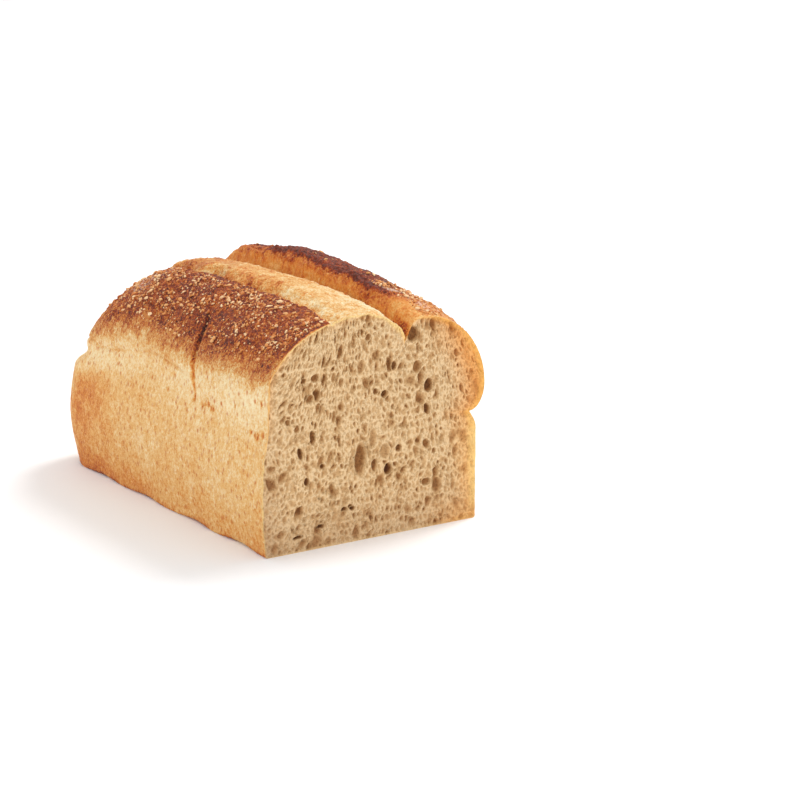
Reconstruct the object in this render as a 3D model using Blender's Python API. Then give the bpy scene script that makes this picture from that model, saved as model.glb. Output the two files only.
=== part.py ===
"""A tin-baked sourdough loaf with its first slices cut off, in metres, +Z up.

The loaf stands on z = 0. Its cut face looks along -Y and its baked end is at +Y. One closed body is
made of three surfaces that share their edges: the crust, which is a section carried along the loaf,
the baked end, which closes the crust, and the cut face with its larger pores. Bran flakes are then
fused on. Sizes are measured from the middle of the tin, y from the cut face and z from the base.
"""

import bmesh
import bpy
import numpy as np
from mathutils import Vector, bvhtree, geometry

# Overall sizes
LENGTH = 0.218
WALL = 0.0592
CORNER = 0.0245
MIDDLE = 0.0020
FRONT = 0.1105

# Foot and sides, as the tin left them
FOOT_EDGE = (0.0012, 0.0030)
FOOT_TUCK = 0.0006
TUCK_PITCH = 0.047
TUCK_START = 0.026
WALL_BELLY = 0.0026
BAND_FOLD = 0.0012

# Section at the cut, as (distance from the middle, height)
RIM_LEFT = (-0.0572, 0.060)
SHOULDER_LEFT = (-0.0564, 0.081)
LIP = (-0.0230, 0.1062)
LIP_STEP = (0.0015, 0.0012)
CREST = (-0.0110, 0.1082)
CLEFT = (0.0183, 0.0930)
EAR = (0.0290, 0.1037)
BULGE = (0.0642, 0.0670)
NOTCH = (0.0552, 0.0540)
RIM_RIGHT = (0.0592, 0.0455)
SHOULDER_POWER = 1.43
SHOULDER_FILL = 0.165
SHOULDER_SHIFT = (0.0010, -0.0030)
INNER_STEEP = 0.38
INNER_STEEP_ENDS = 0.75
INNER_LEAN_STARTS = 0.45

# How the section grows from the cut to the highest point
PEAK_Y = 0.093
LIP_RISE = 0.0047
CREST_RISE = 0.0061
CLEFT_RISE = 0.0110
EAR_RISE = 0.0154
RISE_ROUNDING = 2.6
EAR_ROUNDING = 1.82
LIP_SHIFT = 0.0030
EAR_SHIFT = -0.0025
LIP_WANDER = 0.0022
EAR_WANDER = 0.0013
CLEFT_SHUTS = (0.158, 0.212)
CLEFT_LEFT = 0.0040
EAR_LEFT = -0.0010

# The dome's fall and the baked end
DOME_FALLS = 0.093
DOME_POWER = 3.1
DOME_LEFT = 0.14
DOME_SET_BACK = 0.0134
LEDGE = (0.0023, 0.0090)
RIM_DROP = 0.0052
END_REACH = 0.060
END_FOOT = 0.0080
END_BELLY = 0.0030
END_CROWN = 0.0025
END_TAPER = 0.0058

# Unevenness of the whole crust
SWELL = 0.0006
SWELL_SIZE = 0.024

# The crack that runs down the left side
CRACK_Y = 0.0710
CRACK_HEIGHT = 0.072
CRACK_SPAN = (0.058, 0.101)
CRACK_BEND = 13.0
CRACK_DEPTH = 0.0022
CRACK_WIDTH = 0.0022
CRACK_REACH = 0.022

# Bran flakes
SEED = 11
FLAKES = 120
FLAKE_SPACING = 0.0042
FLAKE_LENGTH = (0.0030, 0.0046)
FLAKE_WIDTH = (0.55, 0.80)
FLAKE_THICKNESS = 0.22
FLAKE_SIDES = 6
BRAN_ABOVE = {"shoulder_left": 0.086, "shoulder_right": 0.092}

# Pores of the cut face. The large ones are (across, height, half width, half height)
PORES = 76
PORE_SIDES = 6
PORE_MARGIN = 0.0050
PORE_GAP = 0.0012
PORE_LEAN = 0.12
PORE_DEPTH = 1.5
PORE_TRIES = 6000
PORE_HALF_WIDTH = (0.0013, 0.0030)
PORE_TALLNESS = (1.0, 1.8)
LARGE_PORES = (
    (-0.0069, 0.0391, 0.0037, 0.0089),
    (0.0088, 0.0323, 0.0025, 0.0029),
    (0.0009, 0.0350, 0.0017, 0.0036),
    (0.0066, 0.0410, 0.0028, 0.0040),
    (0.0001, 0.0487, 0.0022, 0.0048),
    (0.0317, 0.0700, 0.0028, 0.0036),
    (0.0253, 0.0801, 0.0028, 0.0031),
    (0.0123, 0.0822, 0.0017, 0.0027),
    (0.0306, 0.0585, 0.0020, 0.0029),
    (-0.0331, 0.0536, 0.0020, 0.0036),
    (-0.0397, 0.0465, 0.0020, 0.0027),
    (0.0306, 0.0417, 0.0023, 0.0027),
    (0.0307, 0.0229, 0.0025, 0.0022),
    (-0.0366, 0.0327, 0.0017, 0.0022),
    (-0.0312, 0.0817, 0.0023, 0.0022),
)

# Points along each stretch of the section, in order from the middle of the base round by the left
STEPS = {
    "base_left": 3,
    "foot_left": 2,
    "wall_left": 5,
    "band_left": 4,
    "shoulder_left": 7,
    "lip": 1,
    "stripe_left": 2,
    "stripe_right": 4,
    "cleft_wall": 4,
    "shoulder_right": 7,
    "under_bulge": 4,
    "notch": 2,
    "wall_right": 4,
    "foot_right": 2,
    "base_right": 3,
}
STATION_PITCH = 0.0075
CRACK_STATIONS = (-1.3, 0.0, 1.3)
CORNER_STEPS = 6
END_SHARES = (0.05, 0.12, 0.22, 0.45, 0.72)
BRAN_FINENESS = 12
BRAN_STATIONS = 240


def clear_scene():
    """Removes every object that the scene starts with."""
    for obj in list(bpy.data.objects):
        bpy.data.objects.remove(obj, do_unlink=True)


def smooth(low, high, value):
    """A step from 0 at low to 1 at high with level ends."""
    t = np.clip((value - low) / (high - low), 0.0, 1.0)
    return t * t * (3.0 - 2.0 * t)


def lattice_value(cells, seed):
    """A repeatable number from 0 to 1 for each whole-number cell, mixed by integer hashing."""
    n = (cells * np.array([374761393, 668265263, 1440662683])).sum(axis=-1) + seed * 974634777
    n = n & 0xFFFFFFFF
    n = ((n ^ (n >> 13)) * 1274126177) & 0xFFFFFFFF
    n = ((n ^ (n >> 15)) * 2246822519) & 0xFFFFFFFF
    return ((n ^ (n >> 16)) & 0xFFFFFFFF) / 4294967296.0


def noise(points, size, seed):
    """Smooth noise from -1 to 1: values on a lattice of the given size, blended between its corners."""
    scaled = np.asarray(points, np.float64) / size
    cell = np.floor(scaled)
    share = scaled - cell
    share = share * share * (3.0 - 2.0 * share)
    total = np.zeros(scaled.shape[:-1])
    for corner in np.ndindex(2, 2, 2):
        weight = np.where(np.array(corner) == 1, share, 1.0 - share).prod(axis=-1)
        total += weight * lattice_value(cell.astype(np.int64) + np.array(corner), seed)
    return 2.0 * total - 1.0


def ripple(y, size, seed):
    """Smooth noise along the loaf's length."""
    return noise(np.stack([y, 0.0 * y, 0.0 * y], axis=-1), size, seed)


def line(start, end, t):
    """A straight stretch from start to end."""
    return start[0] + (end[0] - start[0]) * t, start[1] + (end[1] - start[1]) * t


def turn_edge(centre, radius, start, end, t):
    """A round edge about its centre, from one angle to another in quarter turns."""
    angle = (start + (end - start) * t) * np.pi / 2
    return centre[0] + radius * np.cos(angle), centre[1] + radius * np.sin(angle)


def quarter(upright, level, t, power=2.0):
    """A quarter of a superellipse, upright at its first point and level at its second."""
    angle = t * np.pi / 2
    across = upright[0] + (level[0] - upright[0]) * (1.0 - np.cos(angle) ** (2.0 / power))
    up = upright[1] + (level[1] - upright[1]) * np.sin(angle) ** (2.0 / power)
    return across, up


def crown_line(y):
    """The places of the lip, crest, cleft and ear at each distance y from the cut."""
    along = np.clip(y / PEAK_Y, 0.0, 1.0)
    rise = 1.0 - (1.0 - along) ** RISE_ROUNDING
    shut = smooth(*CLEFT_SHUTS, y)
    crest = CREST[1] + CREST_RISE * rise
    cleft = CLEFT[1] + CLEFT_RISE * rise
    cleft = cleft + (crest - CLEFT_LEFT - cleft) * shut
    ear = EAR[1] + EAR_RISE * (1.0 - (1.0 - along) ** EAR_ROUNDING)
    ear = ear + (crest + EAR_LEFT - ear) * shut
    ear = ear + EAR_WANDER * smooth(0.004, 0.020, y) * ripple(y, 0.014, 12)
    lip = LIP[0] + LIP_SHIFT * smooth(0.010, 0.030, y)
    lip = lip + LIP_WANDER * smooth(0.0, 0.012, y) * ripple(y, 0.019, 5)
    return {
        "lip": (lip, LIP[1] + LIP_RISE * rise),
        "crest": (CREST[0], crest),
        "cleft": (CLEFT[0], cleft),
        "ear": (EAR[0] + EAR_SHIFT * smooth(0.0, 0.040, y), ear),
    }


def foot_tuck(y):
    """From 0 to 1: how far the foot is drawn in under the wall, in uneven scallops along the loaf."""
    scallop = 0.5 + 0.5 * np.cos(2.0 * np.pi * (y - TUCK_START) / TUCK_PITCH)
    return scallop * (0.70 + 0.30 * ripple(y, 0.030, 7))


def tin_wall_left(edge, tuck, t):
    """The left wall from its drawn-in foot up to the rim, with a slight belly."""
    across, up = line((-WALL, edge), RIM_LEFT, t)
    return across - WALL_BELLY * np.sin(np.pi * t) + tuck * (1.0 - t) ** 4, up


def tin_wall_right(edge, tuck, t):
    """The right wall from the rim down to its drawn-in foot."""
    across, up = line(RIM_RIGHT, (WALL, edge), t)
    return across - tuck * t ** 4, up


def pale_band(y, shoulder, t):
    """The pale band between the rim and the dark shoulder, with a shallow fold away from the cut."""
    across, up = line(RIM_LEFT, shoulder, t)
    return across + BAND_FOLD * np.sin(np.pi * t) ** 2 * smooth(0.07, 0.09, y), up


def torn_stripe(torn, crest, t):
    """The torn stripe's left half, from the lip's foot up to the crest."""
    return torn[0] + (crest[0] - torn[0]) * t, torn[1] + (crest[1] - torn[1]) * np.sin(t * np.pi / 2)


def cleft_wall(cleft, ear, t):
    """From the cleft's floor up to the ear: steep at first, then leaning out to the ridge."""
    lean = INNER_STEEP * np.sin(np.clip(t / INNER_STEEP_ENDS, 0.0, 1.0) * np.pi / 2)
    past = np.clip((t - INNER_LEAN_STARTS) / (1.0 - INNER_LEAN_STARTS), 0.0, 1.0)
    lean = lean + (1.0 - INNER_STEEP) * past ** 1.5
    climb = np.sin(t * np.pi / 2) ** 0.9
    return cleft[0] + (ear[0] - cleft[0]) * lean, cleft[1] + (ear[1] - cleft[1]) * climb


def rim_notch(notch, t):
    """The hollow under the right bulge, down to the tin's rim."""
    across = notch[0] + (RIM_RIGHT[0] - notch[0]) * np.sin(t * np.pi / 2)
    return across, notch[1] + (RIM_RIGHT[1] - notch[1]) * t


def section(y, steps):
    """Points (x, z) of the closed section at each y, from the middle of the base round by the left."""
    y = y[:, None]
    t = {name: (np.arange(count) / count)[None, :] for name, count in steps.items()}
    top = crown_line(y)
    tuck = FOOT_TUCK * foot_tuck(y)
    edge = FOOT_EDGE[0] + FOOT_EDGE[1] * foot_tuck(y)
    toe = WALL - tuck - edge
    shoulder = (
        SHOULDER_LEFT[0] + SHOULDER_SHIFT[0] * smooth(0.07, 0.14, y),
        SHOULDER_LEFT[1] + SHOULDER_SHIFT[1] * smooth(0.02, 0.08, y),
    )
    fullness = SHOULDER_POWER + SHOULDER_FILL * smooth(0.06, 0.17, y)
    closed = smooth(LENGTH - END_REACH, LENGTH - CORNER, y)
    bulge = (BULGE[0] + (RIM_RIGHT[0] - BULGE[0]) * closed, BULGE[1])
    notch = (NOTCH[0] + (RIM_RIGHT[0] - NOTCH[0]) * closed, NOTCH[1])
    torn = (top["lip"][0] + LIP_STEP[0], top["lip"][1] - LIP_STEP[1])
    stretches = (
        line((0.0, 0.0), (-toe, 0.0), t["base_left"]),
        turn_edge((-toe, edge), edge, -1.0, -2.0, t["foot_left"]),
        tin_wall_left(edge, tuck, t["wall_left"]),
        pale_band(y, shoulder, t["band_left"]),
        quarter(shoulder, top["lip"], t["shoulder_left"], fullness),
        line(top["lip"], torn, t["lip"]),
        torn_stripe(torn, top["crest"], t["stripe_left"]),
        quarter(top["cleft"], top["crest"], 1.0 - t["stripe_right"]),
        cleft_wall(top["cleft"], top["ear"], t["cleft_wall"]),
        quarter(bulge, top["ear"], 1.0 - t["shoulder_right"]),
        quarter(bulge, notch, t["under_bulge"]),
        rim_notch(notch, t["notch"]),
        tin_wall_right(edge, tuck, t["wall_right"]),
        turn_edge((toe, edge), edge, 0.0, -1.0, t["foot_right"]),
        line((toe, 0.0), (0.0, 0.0), t["base_right"]),
    )
    rows = [np.stack(np.broadcast_arrays(across, up, y)[:2], axis=-1) for across, up in stretches]
    return np.concatenate(rows, axis=1)


def crust_rings(y, turn, steps):
    """Rings (x, y, z) of the section at each y, lowered over the dome's end and drawn in at the corner.

    turn is the angle gone round the upright corner: 0 along the side, a right angle at the end.
    """
    across, up = np.moveaxis(section(y, steps), -1, 0)
    along = np.broadcast_to(y[:, None], up.shape)
    rim = RIM_LEFT[1]
    past = np.clip((along - DOME_FALLS) / (LENGTH - DOME_FALLS), 0.0, 1.0)
    left = DOME_LEFT + (1.0 - DOME_LEFT) * np.sqrt(1.0 - past ** DOME_POWER)
    drop = RIM_DROP * smooth(LENGTH - END_REACH, LENGTH, along) * smooth(0.0, rim, up)
    up = np.where(up > rim, rim + (up - rim) * left, up) - drop
    across = across * (1.0 - CORNER * (1.0 - np.cos(turn))[:, None] / WALL)
    over = np.clip(along - (LENGTH - END_FOOT), 0.0, END_FOOT)
    lift = END_FOOT - np.sqrt(END_FOOT ** 2 - over ** 2)
    up = up + lift * np.clip(1.0 - up / (5.0 * END_FOOT), 0.0, 1.0)
    return np.stack([across, along, up], axis=-1)


def end_rings(last_ring):
    """Rings that close the baked end: the last one drawn to the end's middle, on a slight crown."""
    centre = np.array([0.0, LENGTH, 0.5 * RIM_LEFT[1]])
    share = np.array(END_SHARES)[:, None, None]
    rings = last_ring + (centre - last_ring) * share
    rings[..., 1] += END_CROWN * (1.0 - (1.0 - share[..., 0]) ** 2)
    return rings


def shaped_end(across, along, up):
    """The end's shape: the dome set back behind the rim, and the tin's belly and taper below it."""
    rim = RIM_LEFT[1] - RIM_DROP
    back = DOME_SET_BACK * smooth(rim - LEDGE[0], rim + LEDGE[1], up)
    back = back + END_TAPER * (1.0 - np.clip(up / RIM_RIGHT[1], 0.0, 1.0))
    back = back - END_BELLY * np.sin(np.pi * np.clip(up / rim, 0.0, 1.0)) ** 2
    return across, along - back * smooth(LENGTH - END_REACH, LENGTH, along), up


def cracked(across, along, up):
    """The left side's crack: the stations beside it bend along it, and the crust sinks on its line."""
    side = smooth(0.020, 0.040, -across) * smooth(CRACK_SPAN[0], CRACK_SPAN[0] + 0.006, up)
    away = along - CRACK_Y
    depth = CRACK_DEPTH * side * (1.0 - smooth(CRACK_SPAN[1] - 0.006, CRACK_SPAN[1], up))
    depth = depth * np.exp(-((away / CRACK_WIDTH) ** 2))
    bend = CRACK_BEND * (np.clip(up, CRACK_HEIGHT, CRACK_SPAN[1]) - CRACK_HEIGHT) ** 2
    along = along + side * bend * np.exp(-((away / CRACK_REACH) ** 2))
    return across + 0.8 * depth, along, up - 0.6 * depth


def swollen(across, along, up):
    """The crust swollen and sunk a little by smooth noise, out from the loaf's axis, never at the base."""
    swell = SWELL * smooth(0.004, 0.020, up) * noise(np.stack([across, along, up], axis=-1), SWELL_SIZE, 2)
    out = np.hypot(across, up - RIM_RIGHT[1]) + 1e-6
    return across + swell * across / out, along, up + swell * (up - RIM_RIGHT[1]) / out


def settled(rings):
    """The rings with the shape of the end, the crack and the swells."""
    return np.stack(swollen(*cracked(*shaped_end(*np.moveaxis(rings, -1, 0)))), axis=-1)


def stations():
    """Distances from the cut with their corner angles: even, but closer at the crack and the corner."""
    even = np.arange(0.0, LENGTH - CORNER, STATION_PITCH)
    even = even[np.abs(even - CRACK_Y) > 0.6 * STATION_PITCH]
    side = np.sort(np.concatenate([even, CRACK_Y + CRACK_WIDTH * np.array(CRACK_STATIONS)]))
    turn = np.linspace(0.0, np.pi / 2, CORNER_STEPS + 1)
    y = np.concatenate([side, LENGTH - CORNER + CORNER * np.sin(turn)])
    return y, np.concatenate([np.zeros(len(side)), turn])


def inside(point, outline):
    """Whether a point lies in a closed outline, by counting the sides that a level line crosses."""
    after = np.roll(outline, -1, axis=0)
    crosses = (outline[:, 1] > point[1]) != (after[:, 1] > point[1])
    climb = np.where(crosses, after[:, 1] - outline[:, 1], 1.0)
    reach = outline[:, 0] + (point[1] - outline[:, 1]) * (after[:, 0] - outline[:, 0]) / climb
    return bool(np.count_nonzero(crosses & (point[0] < reach)) % 2)


def distance_to(point, outline):
    """The shortest distance from a point to the sides of a closed outline."""
    side = np.roll(outline, -1, axis=0) - outline
    away = np.asarray(point) - outline
    share = np.clip((away * side).sum(axis=1) / (side * side).sum(axis=1), 0.0, 1.0)
    return np.linalg.norm(away - side * share[:, None], axis=1).min()


def apart(pore, other):
    """Whether two pores, as upright ellipses, keep the gap between them."""
    dx = (pore[0] - other[0]) / (pore[2] + other[2] + PORE_GAP)
    dz = (pore[1] - other[1]) / (pore[3] + other[3] + PORE_GAP)
    return dx ** 2 + dz ** 2 > 1.0


def pores_of(outline, rng):
    """Pores of the cut face: the large ones, then random ones clear of them, smaller as room runs out."""
    pores = list(LARGE_PORES)
    low = outline.min(axis=0)
    high = outline.max(axis=0)
    for attempt in range(PORE_TRIES):
        x, z = rng.uniform(low, high)
        width = rng.uniform(*PORE_HALF_WIDTH) * (1.0 - 0.5 * attempt / PORE_TRIES)
        pore = (x, z, width, width * rng.uniform(*PORE_TALLNESS))
        if not inside((x, z), outline) or not all(apart(pore, other) for other in pores):
            continue
        if distance_to((x, z), outline) > PORE_MARGIN + pore[3]:
            pores.append(pore)
        if len(pores) == PORES:
            break
    return pores


def cut_face(outline, rng):
    """Points (x, depth, z) of the cut face, the outline point or other source of each, and its triangles."""
    count = len(outline)
    flat = [Vector(point) for point in outline]
    depth = [0.0] * count
    edges = [(i, (i + 1) % count) for i in range(count)]
    angles = np.arange(PORE_SIDES) * 2.0 * np.pi / PORE_SIDES
    for x, z, width, height in pores_of(outline, rng):
        lean = rng.uniform(-PORE_LEAN, PORE_LEAN)
        floor = PORE_DEPTH * width
        for share, drop in ((1.0, 0.0), (0.62, 0.85 * floor)):
            first = len(flat)
            for angle in angles:
                rise = share * height * np.sin(angle)
                flat.append(Vector((x + share * width * np.cos(angle) - lean * rise, z + rise)))
                depth.append(drop)
            edges += [(first + i, first + (i + 1) % PORE_SIDES) for i in range(PORE_SIDES)]
        flat.append(Vector((x, z)))
        depth.append(floor)
    made = geometry.delaunay_2d_cdt(flat, edges, [], 1, 1e-7)
    source = [ids[0] for ids in made[3]]
    points = [(point.x, depth[i], point.y) for point, i in zip(made[0], source)]
    return points, source, [tuple(face) for face in made[2]]


def loaf_body(rng):
    """The loaf's closed mesh: crust rings, baked end and cut face, sharing their edges."""
    y, turn = stations()
    side = crust_rings(y, turn, STEPS)
    rings = settled(np.concatenate([side, end_rings(side[-1])]))
    count, around = rings.shape[:2]
    shape = bmesh.new()
    grid = [[shape.verts.new(point) for point in ring] for ring in rings]
    for i in range(count - 1):
        for j in range(around):
            k = (j + 1) % around
            shape.faces.new((grid[i][j], grid[i + 1][j], grid[i + 1][k], grid[i][k]))
    tip = shape.verts.new((0.0, LENGTH + END_CROWN, 0.5 * RIM_LEFT[1]))
    for j in range(around):
        shape.faces.new((grid[-1][j], tip, grid[-1][(j + 1) % around]))
    points, source, triangles = cut_face(rings[0][:, [0, 2]], rng)
    verts = [grid[0][i] if i < around else shape.verts.new(point) for point, i in zip(points, source)]
    for triangle in triangles:
        shape.faces.new([verts[i] for i in triangle])
    bmesh.ops.recalc_face_normals(shape, faces=shape.faces)
    mesh = bpy.data.meshes.new("loaf")
    shape.to_mesh(mesh)
    shape.free()
    loaf = bpy.data.objects.new("loaf", mesh)
    bpy.context.scene.collection.objects.link(loaf)
    return loaf


def flake_spots(rng):
    """Places and outward normals of the flakes: on the baked shoulders, none in the stripe or the cleft."""
    fine = {name: BRAN_FINENESS * count for name, count in STEPS.items()}
    y = np.linspace(0.003, LENGTH - CORNER - 0.002, BRAN_STATIONS)
    grid = settled(crust_rings(y, np.zeros(len(y)), fine))
    names = np.repeat(list(fine), list(fine.values()))
    bearing = np.zeros(grid.shape[:2], bool)
    for name, lowest in BRAN_ABOVE.items():
        bearing |= (names == name)[None, :] & (grid[..., 2] > lowest)
    along = np.gradient(grid, axis=0)
    around = np.gradient(grid, axis=1)
    normals = np.cross(around, along)
    rings, places = np.nonzero(bearing)
    spots = []
    for pick in rng.permutation(len(rings)):
        point = Vector(grid[rings[pick], places[pick]])
        if all((point - other).length > FLAKE_SPACING for other, _ in spots):
            spots.append((point, Vector(normals[rings[pick], places[pick]]).normalized()))
        if len(spots) == FLAKES:
            break
    return spots


def flake(name, seat, normal, rng):
    """One bran flake: a thin uneven disc with a low crown on both faces, half sunk in the crust."""
    length = rng.uniform(*FLAKE_LENGTH)
    width = length * rng.uniform(*FLAKE_WIDTH)
    thick = length * FLAKE_THICKNESS
    spin = rng.uniform(0.0, 2.0 * np.pi)
    upright = normal.to_track_quat("Z", "Y").to_matrix()
    points = []
    for height in (-0.5 * thick, 0.5 * thick):
        for side in range(FLAKE_SIDES):
            angle = 2.0 * np.pi * side / FLAKE_SIDES
            reach = rng.uniform(0.80, 1.0)
            x = 0.5 * length * reach * np.cos(angle)
            y = 0.5 * width * reach * np.sin(angle)
            turned = (x * np.cos(spin) - y * np.sin(spin), x * np.sin(spin) + y * np.cos(spin))
            points.append((*turned, height))
    points += [(0.0, 0.0, -thick), (0.0, 0.0, thick)]
    below, above = 2 * FLAKE_SIDES, 2 * FLAKE_SIDES + 1
    faces = []
    for side in range(FLAKE_SIDES):
        after = (side + 1) % FLAKE_SIDES
        faces.append((side, after, FLAKE_SIDES + after, FLAKE_SIDES + side))
        faces.append((below, after, side))
        faces.append((above, FLAKE_SIDES + side, FLAKE_SIDES + after))
    mesh = bpy.data.meshes.new(name)
    mesh.from_pydata([seat + upright @ Vector(point) for point in points], [], faces)
    return bpy.data.objects.new(name, mesh)


def fuse_flakes(loaf, rng):
    """Joins every flake to the loaf by one Boolean union on their collection, then removes the flakes."""
    flakes = bpy.data.collections.new("flakes")
    bpy.context.scene.collection.children.link(flakes)
    crust = bvhtree.BVHTree.FromObject(loaf, bpy.context.evaluated_depsgraph_get())
    for number, (spot, normal) in enumerate(flake_spots(rng)):
        seat = crust.find_nearest(spot)[0]
        flakes.objects.link(flake(f"flake_{number:03d}", seat, normal, rng))
    union = loaf.modifiers.new("flakes", "BOOLEAN")
    union.operation = "UNION"
    union.operand_type = "COLLECTION"
    union.collection = flakes
    union.solver = "MANIFOLD"
    bpy.context.view_layer.update()
    graph = bpy.context.evaluated_depsgraph_get()
    fused = bpy.data.meshes.new_from_object(loaf.evaluated_get(graph))
    loaf.modifiers.remove(union)
    loaf.data = fused
    for obj in list(flakes.objects):
        bpy.data.objects.remove(obj, do_unlink=True)
    bpy.data.collections.remove(flakes)


def stand_on_origin(loaf):
    """Moves the mesh so that the middle of its base is the origin."""
    for vertex in loaf.data.vertices:
        vertex.co.x -= MIDDLE
        vertex.co.y -= FRONT


def baked_crust():
    """The golden brown crust."""
    material = bpy.data.materials.new("baked_crust")
    material.use_nodes = True
    shader = material.node_tree.nodes["Principled BSDF"]
    shader.inputs["Base Color"].default_value = (0.50, 0.24, 0.08, 1.0)
    shader.inputs["Roughness"].default_value = 0.72
    shader.inputs["Metallic"].default_value = 0.0
    return material


def main():
    clear_scene()
    rng = np.random.default_rng(SEED)
    loaf = loaf_body(rng)
    fuse_flakes(loaf, rng)
    stand_on_origin(loaf)
    loaf.data.materials.clear()
    loaf.data.materials.append(baked_crust())
    loaf.data.shade_smooth()
    loaf.data.set_sharp_from_angle(angle=np.radians(40.0))


main()
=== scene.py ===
"""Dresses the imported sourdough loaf: baked crust, torn top, open crumb and bran flakes, with studio light.

The surfaces repeat the named sizes of the part's own source and carry finer relief. Sizes are in metres.
Forms are worked out in the section frame, measured from the middle of the tin (x), the cut face (y) and
the base (z), and are moved to the part's frame as the last step.
"""

import logging
from dataclasses import dataclass, field
from enum import Enum
from typing import Any, Callable, Sequence, Union

import bpy
import numpy as np
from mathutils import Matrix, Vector


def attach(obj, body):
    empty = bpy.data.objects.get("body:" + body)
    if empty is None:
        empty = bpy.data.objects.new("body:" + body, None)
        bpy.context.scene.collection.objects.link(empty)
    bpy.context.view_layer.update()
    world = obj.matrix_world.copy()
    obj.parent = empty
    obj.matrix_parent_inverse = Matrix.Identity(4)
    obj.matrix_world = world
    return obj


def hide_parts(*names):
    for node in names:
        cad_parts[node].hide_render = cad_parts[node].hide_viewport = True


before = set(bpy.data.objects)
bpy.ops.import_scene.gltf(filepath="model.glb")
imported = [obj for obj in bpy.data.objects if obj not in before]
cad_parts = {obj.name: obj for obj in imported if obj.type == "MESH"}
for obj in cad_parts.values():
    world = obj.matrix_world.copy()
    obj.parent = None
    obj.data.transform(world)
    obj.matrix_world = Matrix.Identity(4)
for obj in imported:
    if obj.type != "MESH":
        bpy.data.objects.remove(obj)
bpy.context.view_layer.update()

Array = np.ndarray
Colour = tuple[float, float, float]
Pair = tuple[float, float]
Triple = tuple[float, float, float]
Table = tuple[Pair, ...]
log = logging.getLogger("loaf")

MM = 0.001


def smooth(low: Any, high: Any, value: Any) -> Any:
    """A step from 0 at low to 1 at high with level ends: t squared times 3 minus 2 t.

    Args:
        low: where the step starts.
        high: where it ends.
        value: the numbers to step on.

    Returns:
        The step's height for each value.
    """
    t = np.clip((value - low) / (high - low), 0.0, 1.0)
    return t * t * (3.0 - 2.0 * t)


def blend(first: Any, second: Any, share: Any) -> Any:
    """The first value moved towards the second by a share from 0 to 1."""
    return first + (second - first) * share


def lattice_value(cells: Array, seed: int) -> Array:
    """A repeatable number from 0 to 1 for each whole-number cell, mixed by integer hashing.

    Args:
        cells: whole numbers, three on the last axis.
        seed: a number that picks one of many such patterns.

    Returns:
        One number for each cell.
    """
    n = (cells * np.array([374761393, 668265263, 1440662683])).sum(axis=-1) + seed * 974634777
    n = n & 0xFFFFFFFF
    n = ((n ^ (n >> 13)) * 1274126177) & 0xFFFFFFFF
    n = ((n ^ (n >> 15)) * 2246822519) & 0xFFFFFFFF
    return ((n ^ (n >> 16)) & 0xFFFFFFFF) / 4294967296.0


def noise(points: Array, size: float, seed: int) -> Array:
    """Smooth noise from -1 to 1: values on a lattice, blended between its corners.

    Args:
        points: places, three numbers on the last axis.
        size: the lattice's pitch.
        seed: picks the pattern.

    Returns:
        The noise at each place.
    """
    scaled = np.asarray(points, np.float64) / size
    cell = np.floor(scaled)
    share = scaled - cell
    share = share * share * (3.0 - 2.0 * share)
    cell = cell.astype(np.int64)
    total = np.zeros(scaled.shape[:-1])
    for corner in np.ndindex(2, 2, 2):
        weight = np.where(np.array(corner) == 1, share, 1.0 - share).prod(axis=-1)
        total += weight * lattice_value(cell + np.array(corner), seed)
    return 2.0 * total - 1.0


def fractal(points: Array, size: float, seed: int, octaves: int) -> Array:
    """Noise with finer noise on it: each octave is half as large and half as strong as the one before."""
    total = sum(noise(points, size / 2**i, seed + i) / 2**i for i in range(octaves))
    return total / sum(0.5**i for i in range(octaves))


def ripple(y: Array, size: float, seed: int) -> Array:
    """Smooth noise along the loaf's length."""
    return noise(np.stack([y, 0.0 * y, 0.0 * y], axis=-1), size, seed)


def stretched(points: Array, scale: Sequence[float]) -> Array:
    """Places with each axis scaled, so that noise on them is drawn out along an axis."""
    return points * np.asarray(scale)


def flat_noise(points: Array, size: float, seed: int) -> Array:
    """Smooth noise at places (x, z) on the plane of the cut."""
    x, z = points.T
    return noise(np.stack([x, 0.0 * x, z], axis=-1), size, seed)


def looked_up(table: Sequence[Pair], values: Array) -> Array:
    """Values looked up in a table of pairs, along straight lines between them and level past its ends."""
    return np.interp(values, *np.array(table).T)


def line(start: Sequence[Any], end: Sequence[Any], t: Array) -> tuple[Any, Any]:
    """A straight stretch from start to end."""
    return start[0] + (end[0] - start[0]) * t, start[1] + (end[1] - start[1]) * t


def turn_edge(centre: Sequence[Any], radius: Any, start: float, end: float, t: Array) -> tuple[Any, Any]:
    """A round edge about its centre, from one angle to another in quarter turns."""
    angle = (start + (end - start) * t) * np.pi / 2
    return centre[0] + radius * np.cos(angle), centre[1] + radius * np.sin(angle)


def quarter(upright: Sequence[Any], level: Sequence[Any], t: Array, power: Any = 2.0) -> tuple[Any, Any]:
    """A quarter of a superellipse, upright at its first point and level at its second.

    Args:
        upright: the point where the curve is upright.
        level: the point where it is level.
        t: shares of the way from the first point to the second.
        power: 2 for an ellipse, less for a straighter curve.

    Returns:
        The distances across and up.
    """
    angle = t * np.pi / 2
    across = upright[0] + (level[0] - upright[0]) * (1.0 - np.cos(angle) ** (2.0 / power))
    up = upright[1] + (level[1] - upright[1]) * np.sin(angle) ** (2.0 / power)
    return across, up


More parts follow.
